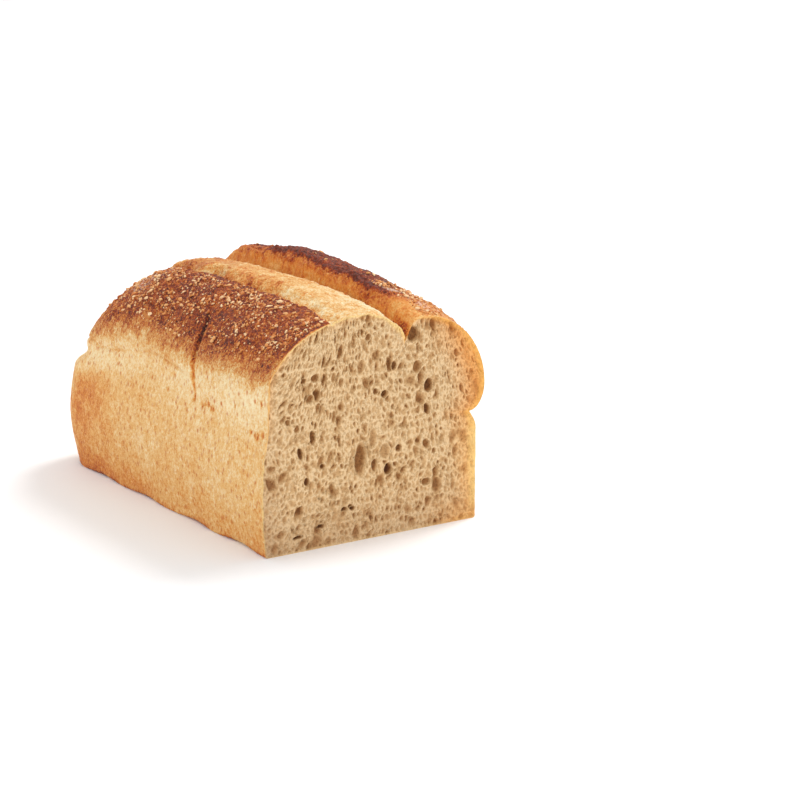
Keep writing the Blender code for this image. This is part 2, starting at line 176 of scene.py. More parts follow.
class Stretch(Enum):
    """The stretches of the section, in order from the middle of the base round by the left."""

    BASE_LEFT = "base_left"
    FOOT_LEFT = "foot_left"
    WALL_LEFT = "wall_left"
    BAND_LEFT = "band_left"
    SHOULDER_LEFT = "shoulder_left"
    LIP = "lip"
    STRIPE_LEFT = "stripe_left"
    STRIPE_RIGHT = "stripe_right"
    CLEFT_WALL = "cleft_wall"
    SHOULDER_RIGHT = "shoulder_right"
    UNDER_BULGE = "under_bulge"
    NOTCH = "notch"
    WALL_RIGHT = "wall_right"
    FOOT_RIGHT = "foot_right"
    BASE_RIGHT = "base_right"


STEP_COUNTS = (8, 8, 96, 38, 88, 4, 22, 64, 34, 92, 26, 16, 56, 8, 8)
FINE_STEPS: dict[Stretch, int] = dict(zip(Stretch, STEP_COUNTS))


@dataclass(frozen=True)
class LoafForm:
    """The loaf's form in the part's own sizes: a section carried along the loaf, and its baked end."""

    length: float = 0.218
    wall: float = 0.0592
    corner: float = 0.0245
    middle: float = 0.0020
    front: float = 0.1105
    foot_edge: Pair = (0.0012, 0.0030)
    foot_tuck: float = 0.0006
    tuck_pitch: float = 0.047
    tuck_start: float = 0.026
    wall_belly: float = 0.0026
    band_fold: float = 0.0012
    rim_left: Pair = (-0.0572, 0.060)
    shoulder_left: Pair = (-0.0564, 0.081)
    lip: Pair = (-0.0230, 0.1062)
    lip_step: Pair = (0.0015, 0.0012)
    crest: Pair = (-0.0110, 0.1082)
    cleft: Pair = (0.0183, 0.0930)
    ear: Pair = (0.0290, 0.1037)
    bulge: Pair = (0.0642, 0.0670)
    notch: Pair = (0.0552, 0.0540)
    rim_right: Pair = (0.0592, 0.0455)
    shoulder_power: float = 1.43
    shoulder_fill: float = 0.165
    shoulder_shift: Pair = (0.0010, -0.0030)
    inner_steep: float = 0.38
    inner_steep_ends: float = 0.75
    inner_lean_starts: float = 0.45
    peak_y: float = 0.093
    lip_rise: float = 0.0047
    crest_rise: float = 0.0061
    cleft_rise: float = 0.0110
    ear_rise: float = 0.0154
    rise_rounding: float = 2.6
    ear_rounding: float = 1.82
    lip_shift: float = 0.0030
    ear_shift: float = -0.0025
    lip_wander: float = 0.0022
    lip_ragged: float = 0.0009
    ear_wander: float = 0.0013
    cleft_shuts: Pair = (0.158, 0.212)
    cleft_left: float = 0.0040
    ear_left: float = -0.0010
    dome_falls: float = 0.093
    dome_power: float = 3.1
    dome_left: float = 0.14
    dome_set_back: float = 0.0134
    ledge: Pair = (0.0023, 0.0090)
    rim_drop: float = 0.0052
    end_reach: float = 0.060
    end_foot: float = 0.0080
    end_belly: float = 0.0030
    end_crown: float = 0.0025
    end_taper: float = 0.0058
    swell: float = 0.0006
    swell_size: float = 0.024
    crack_y: float = 0.0710
    crack_height: float = 0.072
    crack_span: Pair = (0.058, 0.101)
    crack_bend: float = 13.0
    crack_depth: float = 0.0022
    crack_width: float = 0.0022
    crack_reach: float = 0.022

    def crown_line(self, y: Array) -> dict[str, tuple[Any, Any]]:
        """The places of the lip, crest, cleft and ear, which rise from the cut to the loaf's highest point.

        Args:
            y: distances from the cut.

        Returns:
            (across, up) for each named line.
        """
        along = np.clip(y / self.peak_y, 0.0, 1.0)
        rise = 1.0 - (1.0 - along) ** self.rise_rounding
        shut = smooth(*self.cleft_shuts, y)
        crest = self.crest[1] + self.crest_rise * rise
        cleft = self.cleft[1] + self.cleft_rise * rise
        cleft = cleft + (crest - self.cleft_left - cleft) * shut
        ear = self.ear[1] + self.ear_rise * (1.0 - (1.0 - along) ** self.ear_rounding)
        ear = ear + (crest + self.ear_left - ear) * shut
        ear = ear + self.ear_wander * smooth(0.004, 0.020, y) * ripple(y, 0.014, 12)
        lip = self.lip[0] + self.lip_shift * smooth(0.010, 0.030, y)
        lip = lip + self.lip_wander * smooth(0.0, 0.012, y) * ripple(y, 0.019, 5)
        ragged = ripple(y, 0.0052, 8) + 0.5 * ripple(y, 0.0019, 9)
        lip = lip + self.lip_ragged * smooth(0.0, 0.006, y) * ragged
        return {
            "lip": (lip, self.lip[1] + self.lip_rise * rise),
            "crest": (self.crest[0], crest),
            "cleft": (self.cleft[0], cleft),
            "ear": (self.ear[0] + self.ear_shift * smooth(0.0, 0.040, y), ear),
        }

    def foot_drawn(self, y: Array) -> Array:
        """From 0 to 1: how far the foot is drawn in under the wall, in uneven scallops along the loaf."""
        scallop = 0.5 + 0.5 * np.cos(2.0 * np.pi * (y - self.tuck_start) / self.tuck_pitch)
        return scallop * (0.70 + 0.30 * ripple(y, 0.030, 7))

    def tin_wall_left(self, edge: Array, tuck: Array, t: Array) -> tuple[Any, Any]:
        """The left wall from its drawn-in foot up to the rim, with a slight belly."""
        across, up = line((-self.wall, edge), self.rim_left, t)
        return across - self.wall_belly * np.sin(np.pi * t) + tuck * (1.0 - t) ** 4, up

    def tin_wall_right(self, edge: Array, tuck: Array, t: Array) -> tuple[Any, Any]:
        """The right wall from the rim down to its drawn-in foot."""
        across, up = line(self.rim_right, (self.wall, edge), t)
        return across - tuck * t**4, up

    def pale_band(self, y: Array, shoulder: Sequence[Any], t: Array) -> tuple[Any, Any]:
        """The pale band between the rim and the dark shoulder, with a shallow fold away from the cut."""
        across, up = line(self.rim_left, shoulder, t)
        return across + self.band_fold * np.sin(np.pi * t) ** 2 * smooth(0.07, 0.09, y), up

    def inner_wall(self, cleft: Sequence[Any], ear: Sequence[Any], t: Array) -> tuple[Any, Any]:
        """From the cleft's floor up to the ear: steep at first, then leaning out to the ridge."""
        lean = self.inner_steep * np.sin(np.clip(t / self.inner_steep_ends, 0.0, 1.0) * np.pi / 2)
        past = np.clip((t - self.inner_lean_starts) / (1.0 - self.inner_lean_starts), 0.0, 1.0)
        lean = lean + (1.0 - self.inner_steep) * past**1.5
        climb = np.sin(t * np.pi / 2) ** 0.9
        return cleft[0] + (ear[0] - cleft[0]) * lean, cleft[1] + (ear[1] - cleft[1]) * climb

    def rim_notch(self, notch: Sequence[Any], t: Array) -> tuple[Any, Any]:
        """The hollow under the right bulge, down to the tin's rim."""
        across = notch[0] + (self.rim_right[0] - notch[0]) * np.sin(t * np.pi / 2)
        return across, notch[1] + (self.rim_right[1] - notch[1]) * t

    def torn_rise(self, torn: Sequence[Any], crest: Sequence[Any], t: Array) -> tuple[Any, Any]:
        """The torn stripe's left half, from the lip's foot up to the crest."""
        return torn[0] + (crest[0] - torn[0]) * t, torn[1] + (crest[1] - torn[1]) * np.sin(t * np.pi / 2)

    def section(self, along: Array, steps: dict[Stretch, int]) -> Array:
        """The closed section at each distance from the cut, one stretch of curve after another.

        Args:
            along: distances from the cut.
            steps: points along each stretch.

        Returns:
            Places (x, z): one row for each distance, from the middle of the base round by the left.
        """
        y = along[:, None]
        t = {name: (np.arange(count) / count)[None, :] for name, count in steps.items()}
        top = self.crown_line(y)
        drawn = self.foot_drawn(y)
        tuck = self.foot_tuck * drawn
        edge = self.foot_edge[0] + self.foot_edge[1] * drawn
        toe = self.wall - tuck - edge
        shoulder = (
            self.shoulder_left[0] + self.shoulder_shift[0] * smooth(0.07, 0.14, y),
            self.shoulder_left[1] + self.shoulder_shift[1] * smooth(0.02, 0.08, y),
        )
        fullness = self.shoulder_power + self.shoulder_fill * smooth(0.06, 0.17, y)
        closed = smooth(self.length - self.end_reach, self.length - self.corner, y)
        bulge = (blend(self.bulge[0], self.rim_right[0], closed), self.bulge[1])
        notch = (blend(self.notch[0], self.rim_right[0], closed), self.notch[1])
        step = 0.3 + 0.7 * smooth(0.0, 0.014, y)
        torn = (top["lip"][0] + self.lip_step[0] * step, top["lip"][1] - self.lip_step[1] * step)
        curves = (
            line((0.0, 0.0), (-toe, 0.0), t[Stretch.BASE_LEFT]),
            turn_edge((-toe, edge), edge, -1.0, -2.0, t[Stretch.FOOT_LEFT]),
            self.tin_wall_left(edge, tuck, t[Stretch.WALL_LEFT]),
            self.pale_band(y, shoulder, t[Stretch.BAND_LEFT]),
            quarter(shoulder, top["lip"], t[Stretch.SHOULDER_LEFT], fullness),
            line(top["lip"], torn, t[Stretch.LIP]),
            self.torn_rise(torn, top["crest"], t[Stretch.STRIPE_LEFT]),
            quarter(top["cleft"], top["crest"], 1.0 - t[Stretch.STRIPE_RIGHT]),
            self.inner_wall(top["cleft"], top["ear"], t[Stretch.CLEFT_WALL]),
            quarter(bulge, top["ear"], 1.0 - t[Stretch.SHOULDER_RIGHT]),
            quarter(bulge, notch, t[Stretch.UNDER_BULGE]),
            self.rim_notch(notch, t[Stretch.NOTCH]),
            self.tin_wall_right(edge, tuck, t[Stretch.WALL_RIGHT]),
            turn_edge((toe, edge), edge, 0.0, -1.0, t[Stretch.FOOT_RIGHT]),
            line((toe, 0.0), (0.0, 0.0), t[Stretch.BASE_RIGHT]),
        )
        rows = [np.stack(np.broadcast_arrays(across, up, y)[:2], axis=-1) for across, up in curves]
        return np.concatenate(rows, axis=1)

    def crust_rings(self, y: Array, turn: Array, steps: dict[Stretch, int]) -> Array:
        """Rings of the section at each y, lowered over the dome's end and drawn in round the corner.

        Args:
            y: distances from the cut.
            turn: the angle gone round the upright corner, 0 along the side.
            steps: points along each stretch.

        Returns:
            Places (x, y, z), one row for each ring.
        """
        across, up = np.moveaxis(self.section(y, steps), -1, 0)
        along = np.broadcast_to(y[:, None], up.shape)
        rim = self.rim_left[1]
        past = np.clip((along - self.dome_falls) / (self.length - self.dome_falls), 0.0, 1.0)
        left = self.dome_left + (1.0 - self.dome_left) * np.sqrt(1.0 - past**self.dome_power)
        drop = self.rim_drop * smooth(self.length - self.end_reach, self.length, along)
        up = np.where(up > rim, rim + (up - rim) * left, up) - drop * smooth(0.0, rim, up)
        across = across * (1.0 - self.corner * (1.0 - np.cos(turn))[:, None] / self.wall)
        over = np.clip(along - (self.length - self.end_foot), 0.0, self.end_foot)
        lift = self.end_foot - np.sqrt(self.end_foot**2 - over**2)
        up = up + lift * np.clip(1.0 - up / (5.0 * self.end_foot), 0.0, 1.0)
        return np.stack([across, along, up], axis=-1)

    def end_rings(self, last: Array, shares: Array) -> Array:
        """Rings that close the baked end: the last one drawn to the end's middle, on a slight crown."""
        centre = np.array([0.0, self.length, 0.5 * self.rim_left[1]])
        rings = last + (centre - last) * shares[:, None, None]
        rings[..., 1] += self.end_crown * (1.0 - (1.0 - shares[:, None]) ** 2)
        return rings

    def shaped_end(self, across: Array, along: Array, up: Array) -> tuple[Array, Array, Array]:
        """The end's shape: the dome set back behind the rim, and the tin's belly and taper below it."""
        rim = self.rim_left[1] - self.rim_drop
        back = self.dome_set_back * smooth(rim - self.ledge[0], rim + self.ledge[1], up)
        back = back + self.end_taper * (1.0 - np.clip(up / self.rim_right[1], 0.0, 1.0))
        back = back - self.end_belly * np.sin(np.pi * np.clip(up / rim, 0.0, 1.0)) ** 2
        return across, along - back * smooth(self.length - self.end_reach, self.length, along), up

    def crack_side(self, across: Array, up: Array) -> Array:
        """From 0 to 1: where on the left side the crust leans along the crack."""
        return smooth(0.020, 0.040, -across) * smooth(self.crack_span[0], self.crack_span[0] + 0.006, up)

    def cracked(self, across: Array, along: Array, up: Array) -> tuple[Array, Array, Array]:
        """The left side's crack: the rings beside it bend along it, and the crust sinks on its line."""
        side = self.crack_side(across, up)
        away = along - self.crack_y
        depth = self.crack_depth * side * (1.0 - smooth(self.crack_span[1] - 0.006, self.crack_span[1], up))
        depth = depth * np.exp(-((away / self.crack_width) ** 2))
        high = np.clip(up, self.crack_height, self.crack_span[1]) - self.crack_height
        bend = self.crack_bend * high**2
        along = along + side * bend * np.exp(-((away / self.crack_reach) ** 2))
        return across + 0.8 * depth, along, up - 0.6 * depth

    def swollen(self, across: Array, along: Array, up: Array) -> tuple[Array, Array, Array]:
        """The crust swollen and sunk a little by smooth noise, out from the axis, never at the base."""
        place = np.stack([across, along, up], axis=-1)
        swell = self.swell * smooth(0.004, 0.020, up) * noise(place, self.swell_size, 2)
        out = np.hypot(across, up - self.rim_right[1]) + 1e-6
        return across + swell * across / out, along, up + swell * (up - self.rim_right[1]) / out

    def settled(self, rings: Array) -> Array:
        """The rings with the shape of the end, the crack and the swells."""
        return np.stack(self.swollen(*self.cracked(*self.shaped_end(*np.moveaxis(rings, -1, 0)))), axis=-1)

    def to_part(self, points: Array) -> Array:
        """Places moved from the section frame to the part's frame."""
        return points - np.array([self.middle, self.front, 0.0])


def grid_normals(grid: Array) -> Array:
    """Outward unit normals of a grid of rings: the cross product of its steps round and along.

    Args:
        grid: places, rings by points round each ring.

    Returns:
        One unit vector for each place.
    """
    around = np.roll(grid, -1, axis=1) - np.roll(grid, 1, axis=1)
    along = np.gradient(grid, axis=0)
    normals = np.cross(around, along)
    return normals / (np.linalg.norm(normals, axis=-1, keepdims=True) + 1e-12)


def quads(rows: int, columns: int, closed: bool) -> Array:
    """Faces of a grid of rows by columns, as rows of four vertex numbers.

    Args:
        rows: how many rows of points.
        columns: how many points in each row.
        closed: whether the last column joins the first.

    Returns:
        The faces, wound so that they face outwards on the loaf.
    """
    i = np.arange(rows - 1)[:, None] * columns
    j = np.arange(columns if closed else columns - 1)[None, :]
    k = (j + 1) % columns
    faces = np.stack([i + j, i + k, i + columns + k, i + columns + j], axis=-1)
    return faces.reshape(-1, 4)


class Piece:
    """One visible piece: points, faces, finish, and values kept at its points for the finish to read."""

    def __init__(self, name: str, points: Array, faces: Sequence[Array]) -> None:
        """Makes the mesh object.

        Args:
            name: the piece's name.
            points: places in the part's frame.
            faces: arrays of faces, each with three or four vertex numbers in a row.
        """
        mesh = bpy.data.meshes.new(name)
        mesh.vertices.add(len(points))
        mesh.vertices.foreach_set("co", np.ascontiguousarray(points, np.float32).ravel())
        corners = np.concatenate([block.ravel() for block in faces])
        sizes = np.concatenate([np.full(len(block), block.shape[1]) for block in faces])
        mesh.loops.add(len(corners))
        mesh.loops.foreach_set("vertex_index", corners.astype(np.int32))
        mesh.polygons.add(len(sizes))
        starts = np.concatenate([[0], np.cumsum(sizes)[:-1]])
        mesh.polygons.foreach_set("loop_start", starts.astype(np.int32))
        mesh.update(calc_edges=True)
        mesh.validate()
        self.obj = bpy.data.objects.new(name, mesh)
        bpy.context.scene.collection.objects.link(self.obj)

    def keep(self, values: dict[str, Array]) -> None:
        """Keeps values at the piece's points under their names."""
        for name, numbers in values.items():
            layer = self.obj.data.attributes.new(name, "FLOAT", "POINT")
            layer.data.foreach_set("value", np.ascontiguousarray(numbers, np.float32).ravel())

    def shade(self, normals: Array) -> None:
        """Shades the piece with the normals of the whole surface, so that no seam shows between pieces."""
        self.obj.data.shade_smooth()
        self.obj.data.normals_split_custom_set_from_vertices(normals.reshape(-1, 3).tolist())

    def dress(self, material: bpy.types.Material) -> None:
        """Gives the piece its finish and ties it to the frame."""
        self.obj.data.materials.append(material)
        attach(self.obj, "root")
        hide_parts("loaf")
        triangles = sum(len(face.vertices) - 2 for face in self.obj.data.polygons)
        log.info("%s: %d triangles", self.obj.name, triangles)


def linear(colour: Sequence[float]) -> tuple[float, float, float, float]:
    """A colour given as 0 to 255 on a screen, in the linear numbers that a shader takes."""
    c = np.asarray(colour, float) / 255.0
    c = np.where(c <= 0.04045, c / 12.92, ((c + 0.055) / 1.055) ** 2.4)
    return (float(c[0]), float(c[1]), float(c[2]), 1.0)


def operator(kind: str, reflected: bool = False) -> Callable[["Wire", "Number"], "Wire"]:
    """An operator for wires that adds one Math node.

    Args:
        kind: the Math node's operation.
        reflected: whether the other value comes first, as in 1 - wire.

    Returns:
        The operator.
    """

    def join(wire: "Wire", other: "Number") -> "Wire":
        """The Math node's result."""
        first, second = (other, wire) if reflected else (wire, other)
        return wire.net.maths(kind, first, second)

    return join


class Wire:
    """A shader socket that adds Math nodes when it is used in an expression."""

    def __init__(self, net: "Net", socket: bpy.types.NodeSocket) -> None:
        """Holds the socket and the net that it belongs to."""
        self.net = net
        self.socket = socket

    __add__ = operator("ADD")
    __radd__ = operator("ADD", reflected=True)
    __sub__ = operator("SUBTRACT")
    __rsub__ = operator("SUBTRACT", reflected=True)
    __mul__ = operator("MULTIPLY")
    __rmul__ = operator("MULTIPLY", reflected=True)

    def step(self, low: float, high: float) -> "Wire":
        """A soft step from 0 at low to 1 at high."""
        values = {"Value": self, "From Min": low, "From Max": high, "To Min": 0.0, "To Max": 1.0}
        made = self.net.add("ShaderNodeMapRange", {"interpolation_type": "SMOOTHSTEP"}, values)
        return Wire(self.net, made.outputs["Result"])

    def clamped(self) -> "Wire":
        """The value held between 0 and 1."""
        made = self.net.add("ShaderNodeClamp", {}, {"Value": self, "Min": 0.0, "Max": 1.0})
        return Wire(self.net, made.outputs["Result"])


Number = Union[Wire, float, int]


class Net:
    """A material's node tree, with one method that adds any node."""

    def __init__(self, name: str) -> None:
        """Makes the material of that name and keeps its shader."""
        self.material = bpy.data.materials.new(name)
        self.material.use_nodes = True
        self.tree = self.material.node_tree
        self.shader = self.tree.nodes["Principled BSDF"]
        self.place = Wire(self, self.add("ShaderNodeTexCoord", {}, {}).outputs["Object"])

    def add(self, kind: str, settings: dict[str, Any], values: dict[Any, Any]) -> bpy.types.Node:
        """Adds a node, sets it, and fills its sockets.

        Args:
            kind: the node's type.
            settings: what is set on the node, before its sockets.
            values: a number, colour, socket or wire for each socket name or number.

        Returns:
            The node.
        """
        node = self.tree.nodes.new(kind)
        for name, value in settings.items():
            if name == "stops":
                self.set_stops(node, value)
            else:
                setattr(node, name, value)
        for name, value in values.items():
            self.feed(node.inputs[name], value)
        return node

    def feed(self, socket: bpy.types.NodeSocket, value: Any) -> None:
        """Links a wire or socket to a socket, or sets its number."""
        source = value.socket if isinstance(value, Wire) else value
        if isinstance(source, bpy.types.NodeSocket):
            self.tree.links.new(source, socket)
        else:
            socket.default_value = source

    def set_stops(self, node: bpy.types.Node, stops: Sequence[tuple[float, Colour]]) -> None:
        """Sets a ramp's colour stops, each a place from 0 to 1 and a screen colour."""
        elements = node.color_ramp.elements
        while len(elements) < len(stops):
            elements.new(1.0)
        for element, (position, colour) in zip(elements, stops):
            element.position = position
            element.color = linear(colour)

    def maths(self, operation: str, first: Number, second: Number) -> Wire:
        """One Math node on two values."""
        made = self.add("ShaderNodeMath", {"operation": operation}, {0: first, 1: second})
        return Wire(self, made.outputs["Value"])

    def kept(self, name: str) -> Wire:
        """A value kept at the piece's points."""
        settings = {"attribute_type": "GEOMETRY", "attribute_name": name}
        return Wire(self, self.add("ShaderNodeAttribute", settings, {}).outputs["Fac"])

    def scaled(self, scale: Sequence[float], turn: Sequence[float] = (0.0, 0.0, 0.0)) -> Wire:
        """The object's own coordinates, turned and scaled on each axis."""
        values = {"Vector": self.place, "Scale": tuple(scale), "Rotation": tuple(turn)}
        return Wire(self, self.add("ShaderNodeMapping", {"vector_type": "POINT"}, values).outputs["Vector"])

    def grain(self, size: float, place: Union[Wire, None] = None) -> Wire:
        """Noise from about 0 to 1 with features of a size in metres."""
        values = {"Vector": place or self.place, "Scale": 1.0 / size, "Detail": 2.0, "Roughness": 0.6}
        return Wire(self, self.add("ShaderNodeTexNoise", {"noise_dimensions": "3D"}, values).outputs["Fac"])

    def spread(self, size: float, place: Union[Wire, None] = None) -> Wire:
        """Noise stretched to about -1 to 1, with features of a size in metres."""
        return (self.grain(size, place) - 0.5) * 2.8

    def cells(self, size: float, place: Wire) -> Wire:
        """The distance to the nearest of many scattered points a size apart, in shares of that size."""
        values = {"Vector": place, "Scale": 1.0 / size, "Randomness": 1.0}
        return Wire(self, self.add("ShaderNodeTexVoronoi", {"feature": "F1"}, values).outputs["Distance"])

    def ramp(self, value: Wire, stops: Sequence[tuple[float, Colour]]) -> bpy.types.NodeSocket:
        """A colour looked up on a ramp."""
        return self.add("ShaderNodeValToRGB", {"stops": stops}, {"Fac": value}).outputs["Color"]

    def mix(self, share: Number, first: Any, second: Any, way: str = "MIX") -> bpy.types.NodeSocket:
        """Two colours mixed by a share."""
        settings = {"data_type": "RGBA", "blend_type": way}
        return self.add("ShaderNodeMix", settings, {"Factor": share, 6: first, 7: second}).outputs[2]

    def finished(
        self, colour: Any, roughness: Wire, height: Wire, bump: Pair, specular: float
    ) -> bpy.types.Material:
        """Feeds the shader and gives the material.

        Args:
            colour: its base colour.
            roughness: how rough each place is.
            height: the height that its bump is made from.
            bump: the bump's distance in metres and its strength.
            specular: how much it shines, the same all over.

        Returns:
            The material.
        """
        values = {"Height": height, "Distance": bump[0], "Strength": bump[1]}
        normal = self.add("ShaderNodeBump", {}, values).outputs["Normal"]
        for name, value in (("Base Color", colour), ("Roughness", roughness), ("Normal", normal)):
            self.feed(self.shader.inputs[name], value)
        self.shader.inputs["Specular IOR Level"].default_value = specular
        return self.material


@dataclass(frozen=True)
class CrustFinish:
    """Baked crust: a ramp from pale dough to near black by how far each place has baked."""

    bake_stops: tuple[tuple[float, Colour], ...] = (
        (0.00, (250, 232, 190)),
        (0.12, (244, 214, 162)),
        (0.26, (234, 184, 112)),
        (0.40, (220, 142, 62)),
        (0.52, (200, 106, 44)),
        (0.64, (164, 68, 28)),
        (0.78, (112, 50, 34)),
        (1.00, (66, 40, 36)),
    )
    flour: Colour = (232, 196, 172)
    mauve: Colour = (176, 112, 86)
    speck: Colour = (206, 120, 56)
    fleck: Colour = (250, 234, 196)
    coarse_size: float = 0.0028
    freckle_size: float = 0.0011
    grain_size: float = 0.0006
    uneven: Triple = (0.35, 0.55, 0.45)
    streak_scale: Triple = (1.0, 1.0, 0.72)
    speck_size: float = 0.0031
    speck_edge: Pair = (0.12, 0.37)
    fleck_size: float = 0.0026
    fleck_edge: Pair = (0.06, 0.22)
    fleck_scale: Triple = (1.0, 1.0, 0.6)
    fleck_turn: Triple = (0.3, 0.2, 0.1)
    fleck_strength: float = 0.35
    dust_size: float = 0.0011
    dust_edge: Pair = (0.42, 0.66)
    dust_strength: float = 0.85
    roughness: float = 0.66
    bump: Pair = (0.00045, 0.7)
    specular: float = 0.26

    def build(self) -> bpy.types.Material:
        """Makes the material from the values kept at the crust's points."""
        net = Net("baked_crust")
        bake, mottle, wall, flour = [net.kept(name) for name in ("bake", "mottle", "wall", "flour")]
        streak = net.scaled(self.streak_scale)
        coarse = net.spread(self.coarse_size, streak)
        freckle = net.spread(self.freckle_size, streak)
        grain = net.spread(self.grain_size)
        uneven = coarse * self.uneven[0] + freckle * self.uneven[1] + grain * self.uneven[2]
        colour = net.ramp((bake + mottle * uneven).clamped(), self.bake_stops)
        specks = 1.0 - net.cells(self.speck_size, streak).step(*self.speck_edge)
        colour = net.mix(specks * wall * (coarse * 0.8 + 0.60).clamped(), colour, linear(self.speck))
        turned = net.scaled(self.fleck_scale, self.fleck_turn)
        flecks = 1.0 - net.cells(self.fleck_size, turned).step(*self.fleck_edge)
        flecks = flecks * wall * (0.55 - coarse * 0.6).clamped() * self.fleck_strength
        colour = net.mix(flecks, colour, linear(self.fleck))
        tint = (net.kept("mauve") * (1.0 + freckle * 0.5)).clamped()
        colour = net.mix(tint, colour, linear(self.mauve))
        dust = (flour + net.spread(self.dust_size) * 0.35).step(*self.dust_edge) * flour.step(0.02, 0.3)
        colour = net.mix(dust * self.dust_strength, colour, linear(self.flour))
        roughness = self.roughness - bake * 0.12 + grain * 0.10
        height = (grain + freckle * 1.2) * mottle * 2.6
        return net.finished(colour, roughness, height, self.bump, self.specular)


@dataclass(frozen=True)
class CrumbFinish:
    """Open crumb: pale strands, tan cells whose painted shade darkens with depth, and a golden painted glow
    by the crust, as if lit through.
    """

    # Crumb colours from strand to deepest pore: the darker tones are painted shade in the pores.
    strand_to_pore_shade_tones: tuple[tuple[float, Colour], ...] = (
        (0.00, (231, 199, 154)),
        (0.12, (212, 173, 124)),
        (0.34, (188, 145, 96)),
        (0.60, (152, 103, 56)),
        (1.00, (94, 52, 24)),
    )
    # Painted glow: tints that stand for warm light shining through the crumb near the crust.
    painted_glow_tint: tuple[float, float, float, float] = (1.07, 0.71, 0.39, 1.0)
    painted_glow_golden_tint: tuple[float, float, float, float] = (1.12, 0.89, 0.57, 1.0)
    gold: Colour = (241, 178, 88)
    rim: Colour = (246, 212, 138)
    shade: Colour = (160, 116, 80)
    shade_strength: float = 0.55
    web_size: float = 0.0010
    web_scale: Triple = (1.0, 1.0, 0.7)
    web_edge: Pair = (0.12, 0.60)
    fine_size: float = 0.0006
    broad_size: float = 0.0045
    roughness: float = 0.78
    bump: Pair = (0.0005, 0.8)
    specular: float = 0.3

    def build(self) -> bpy.types.Material:
        """Makes the material from the values kept at the crumb's points."""
        net = Net("open_crumb")
        pit, painted_glow, gold, rind, shade = [net.kept(name) for name in ("pit", "painted_glow", "gold", "rind", "shade")]
        web = net.cells(self.web_size, net.scaled(self.web_scale)).step(*self.web_edge)
        fine = net.grain(self.fine_size) - 0.5
        # Painted shade: the crumb darkens with the pit value and in the middle of the finest cells.
        level = pit + (1.0 - web) * 0.08 - net.spread(self.broad_size) * 0.04 + fine * 0.22
        colour = net.ramp(level.clamped(), self.strand_to_pore_shade_tones)
        colour = net.mix(shade * self.shade_strength, colour, linear(self.shade))
        # Painted glow: the crumb near the crust is tinted as if lit through from behind.
        tint = net.mix(gold, self.painted_glow_tint, self.painted_glow_golden_tint)
        colour = net.mix(painted_glow, colour, net.mix(1.0, colour, tint, "MULTIPLY"))
        colour = net.mix(rind, colour, net.mix(gold, linear(self.gold), linear(self.rim)))
        return net.finished(colour, self.roughness + fine * 0.2, web + fine * 0.6, self.bump, self.specular)


@dataclass(frozen=True)
class BranFinish:
    """Cracked bran: cream to tan chips, some toasted."""

    stops: tuple[tuple[float, Colour], ...] = (
        (0.0, (140, 72, 34)),
        (0.34, (200, 114, 50)),
        (0.66, (224, 158, 90)),
        (1.0, (246, 214, 168)),
    )
    fine_size: float = 0.0006
    roughness: float = 0.6
    bump: Pair = (0.0002, 0.6)
    specular: float = 0.4

    def build(self) -> bpy.types.Material:
        """Makes the material from each flake's tone."""
        net = Net("cracked_bran")
        fine = net.grain(self.fine_size) - 0.5
        colour = net.ramp((net.kept("tone") + fine * 0.5).clamped(), self.stops)
        return net.finished(colour, self.roughness + fine * 0.3, fine, self.bump, self.specular)


@dataclass(frozen=True)
class Patch:
    """A part of the crust that has baked more or less than the rest, bounded by soft steps."""

    amount: float
    along: Table = ()
    up: Table = ()

    def at(self, y: Array, z: Array) -> Array:
        """The amount at each place, times a soft step for each pair of distances along and up."""
        share = np.ones(y.shape)
        for values, steps in ((y, self.along), (z, self.up)):
            for low, high in steps:
                share = share * smooth(low, high, values)
        return self.amount * share


@dataclass(frozen=True)
class ReliefDepths:
    """How high each layer of the crust's relief stands, in metres."""

    blister: float = 0.34 * MM
    dark_grain: float = 0.38 * MM
    wrinkle: float = 0.44 * MM
    side_streak: float = 0.05 * MM
    side_grain: float = 0.07 * MM
    side_swell: float = 0.16 * MM
    under_bulge: float = 0.55 * MM
    torn_draw: float = 0.34 * MM
    torn_crumble: float = 0.62 * MM
    torn_swell: float = 0.40 * MM
    torn_fringe: float = 0.50 * MM
    cleft_fibre: float = 0.34 * MM
    cleft_grain: float = 0.18 * MM
    ear: float = 0.45 * MM
    ear_grain: float = 0.22 * MM
    ear_lump: float = 0.80 * MM
    fold: float = 0.80 * MM
    crack: Pair = (0.35 * MM, 0.80 * MM)
    pit: float = 0.40 * MM


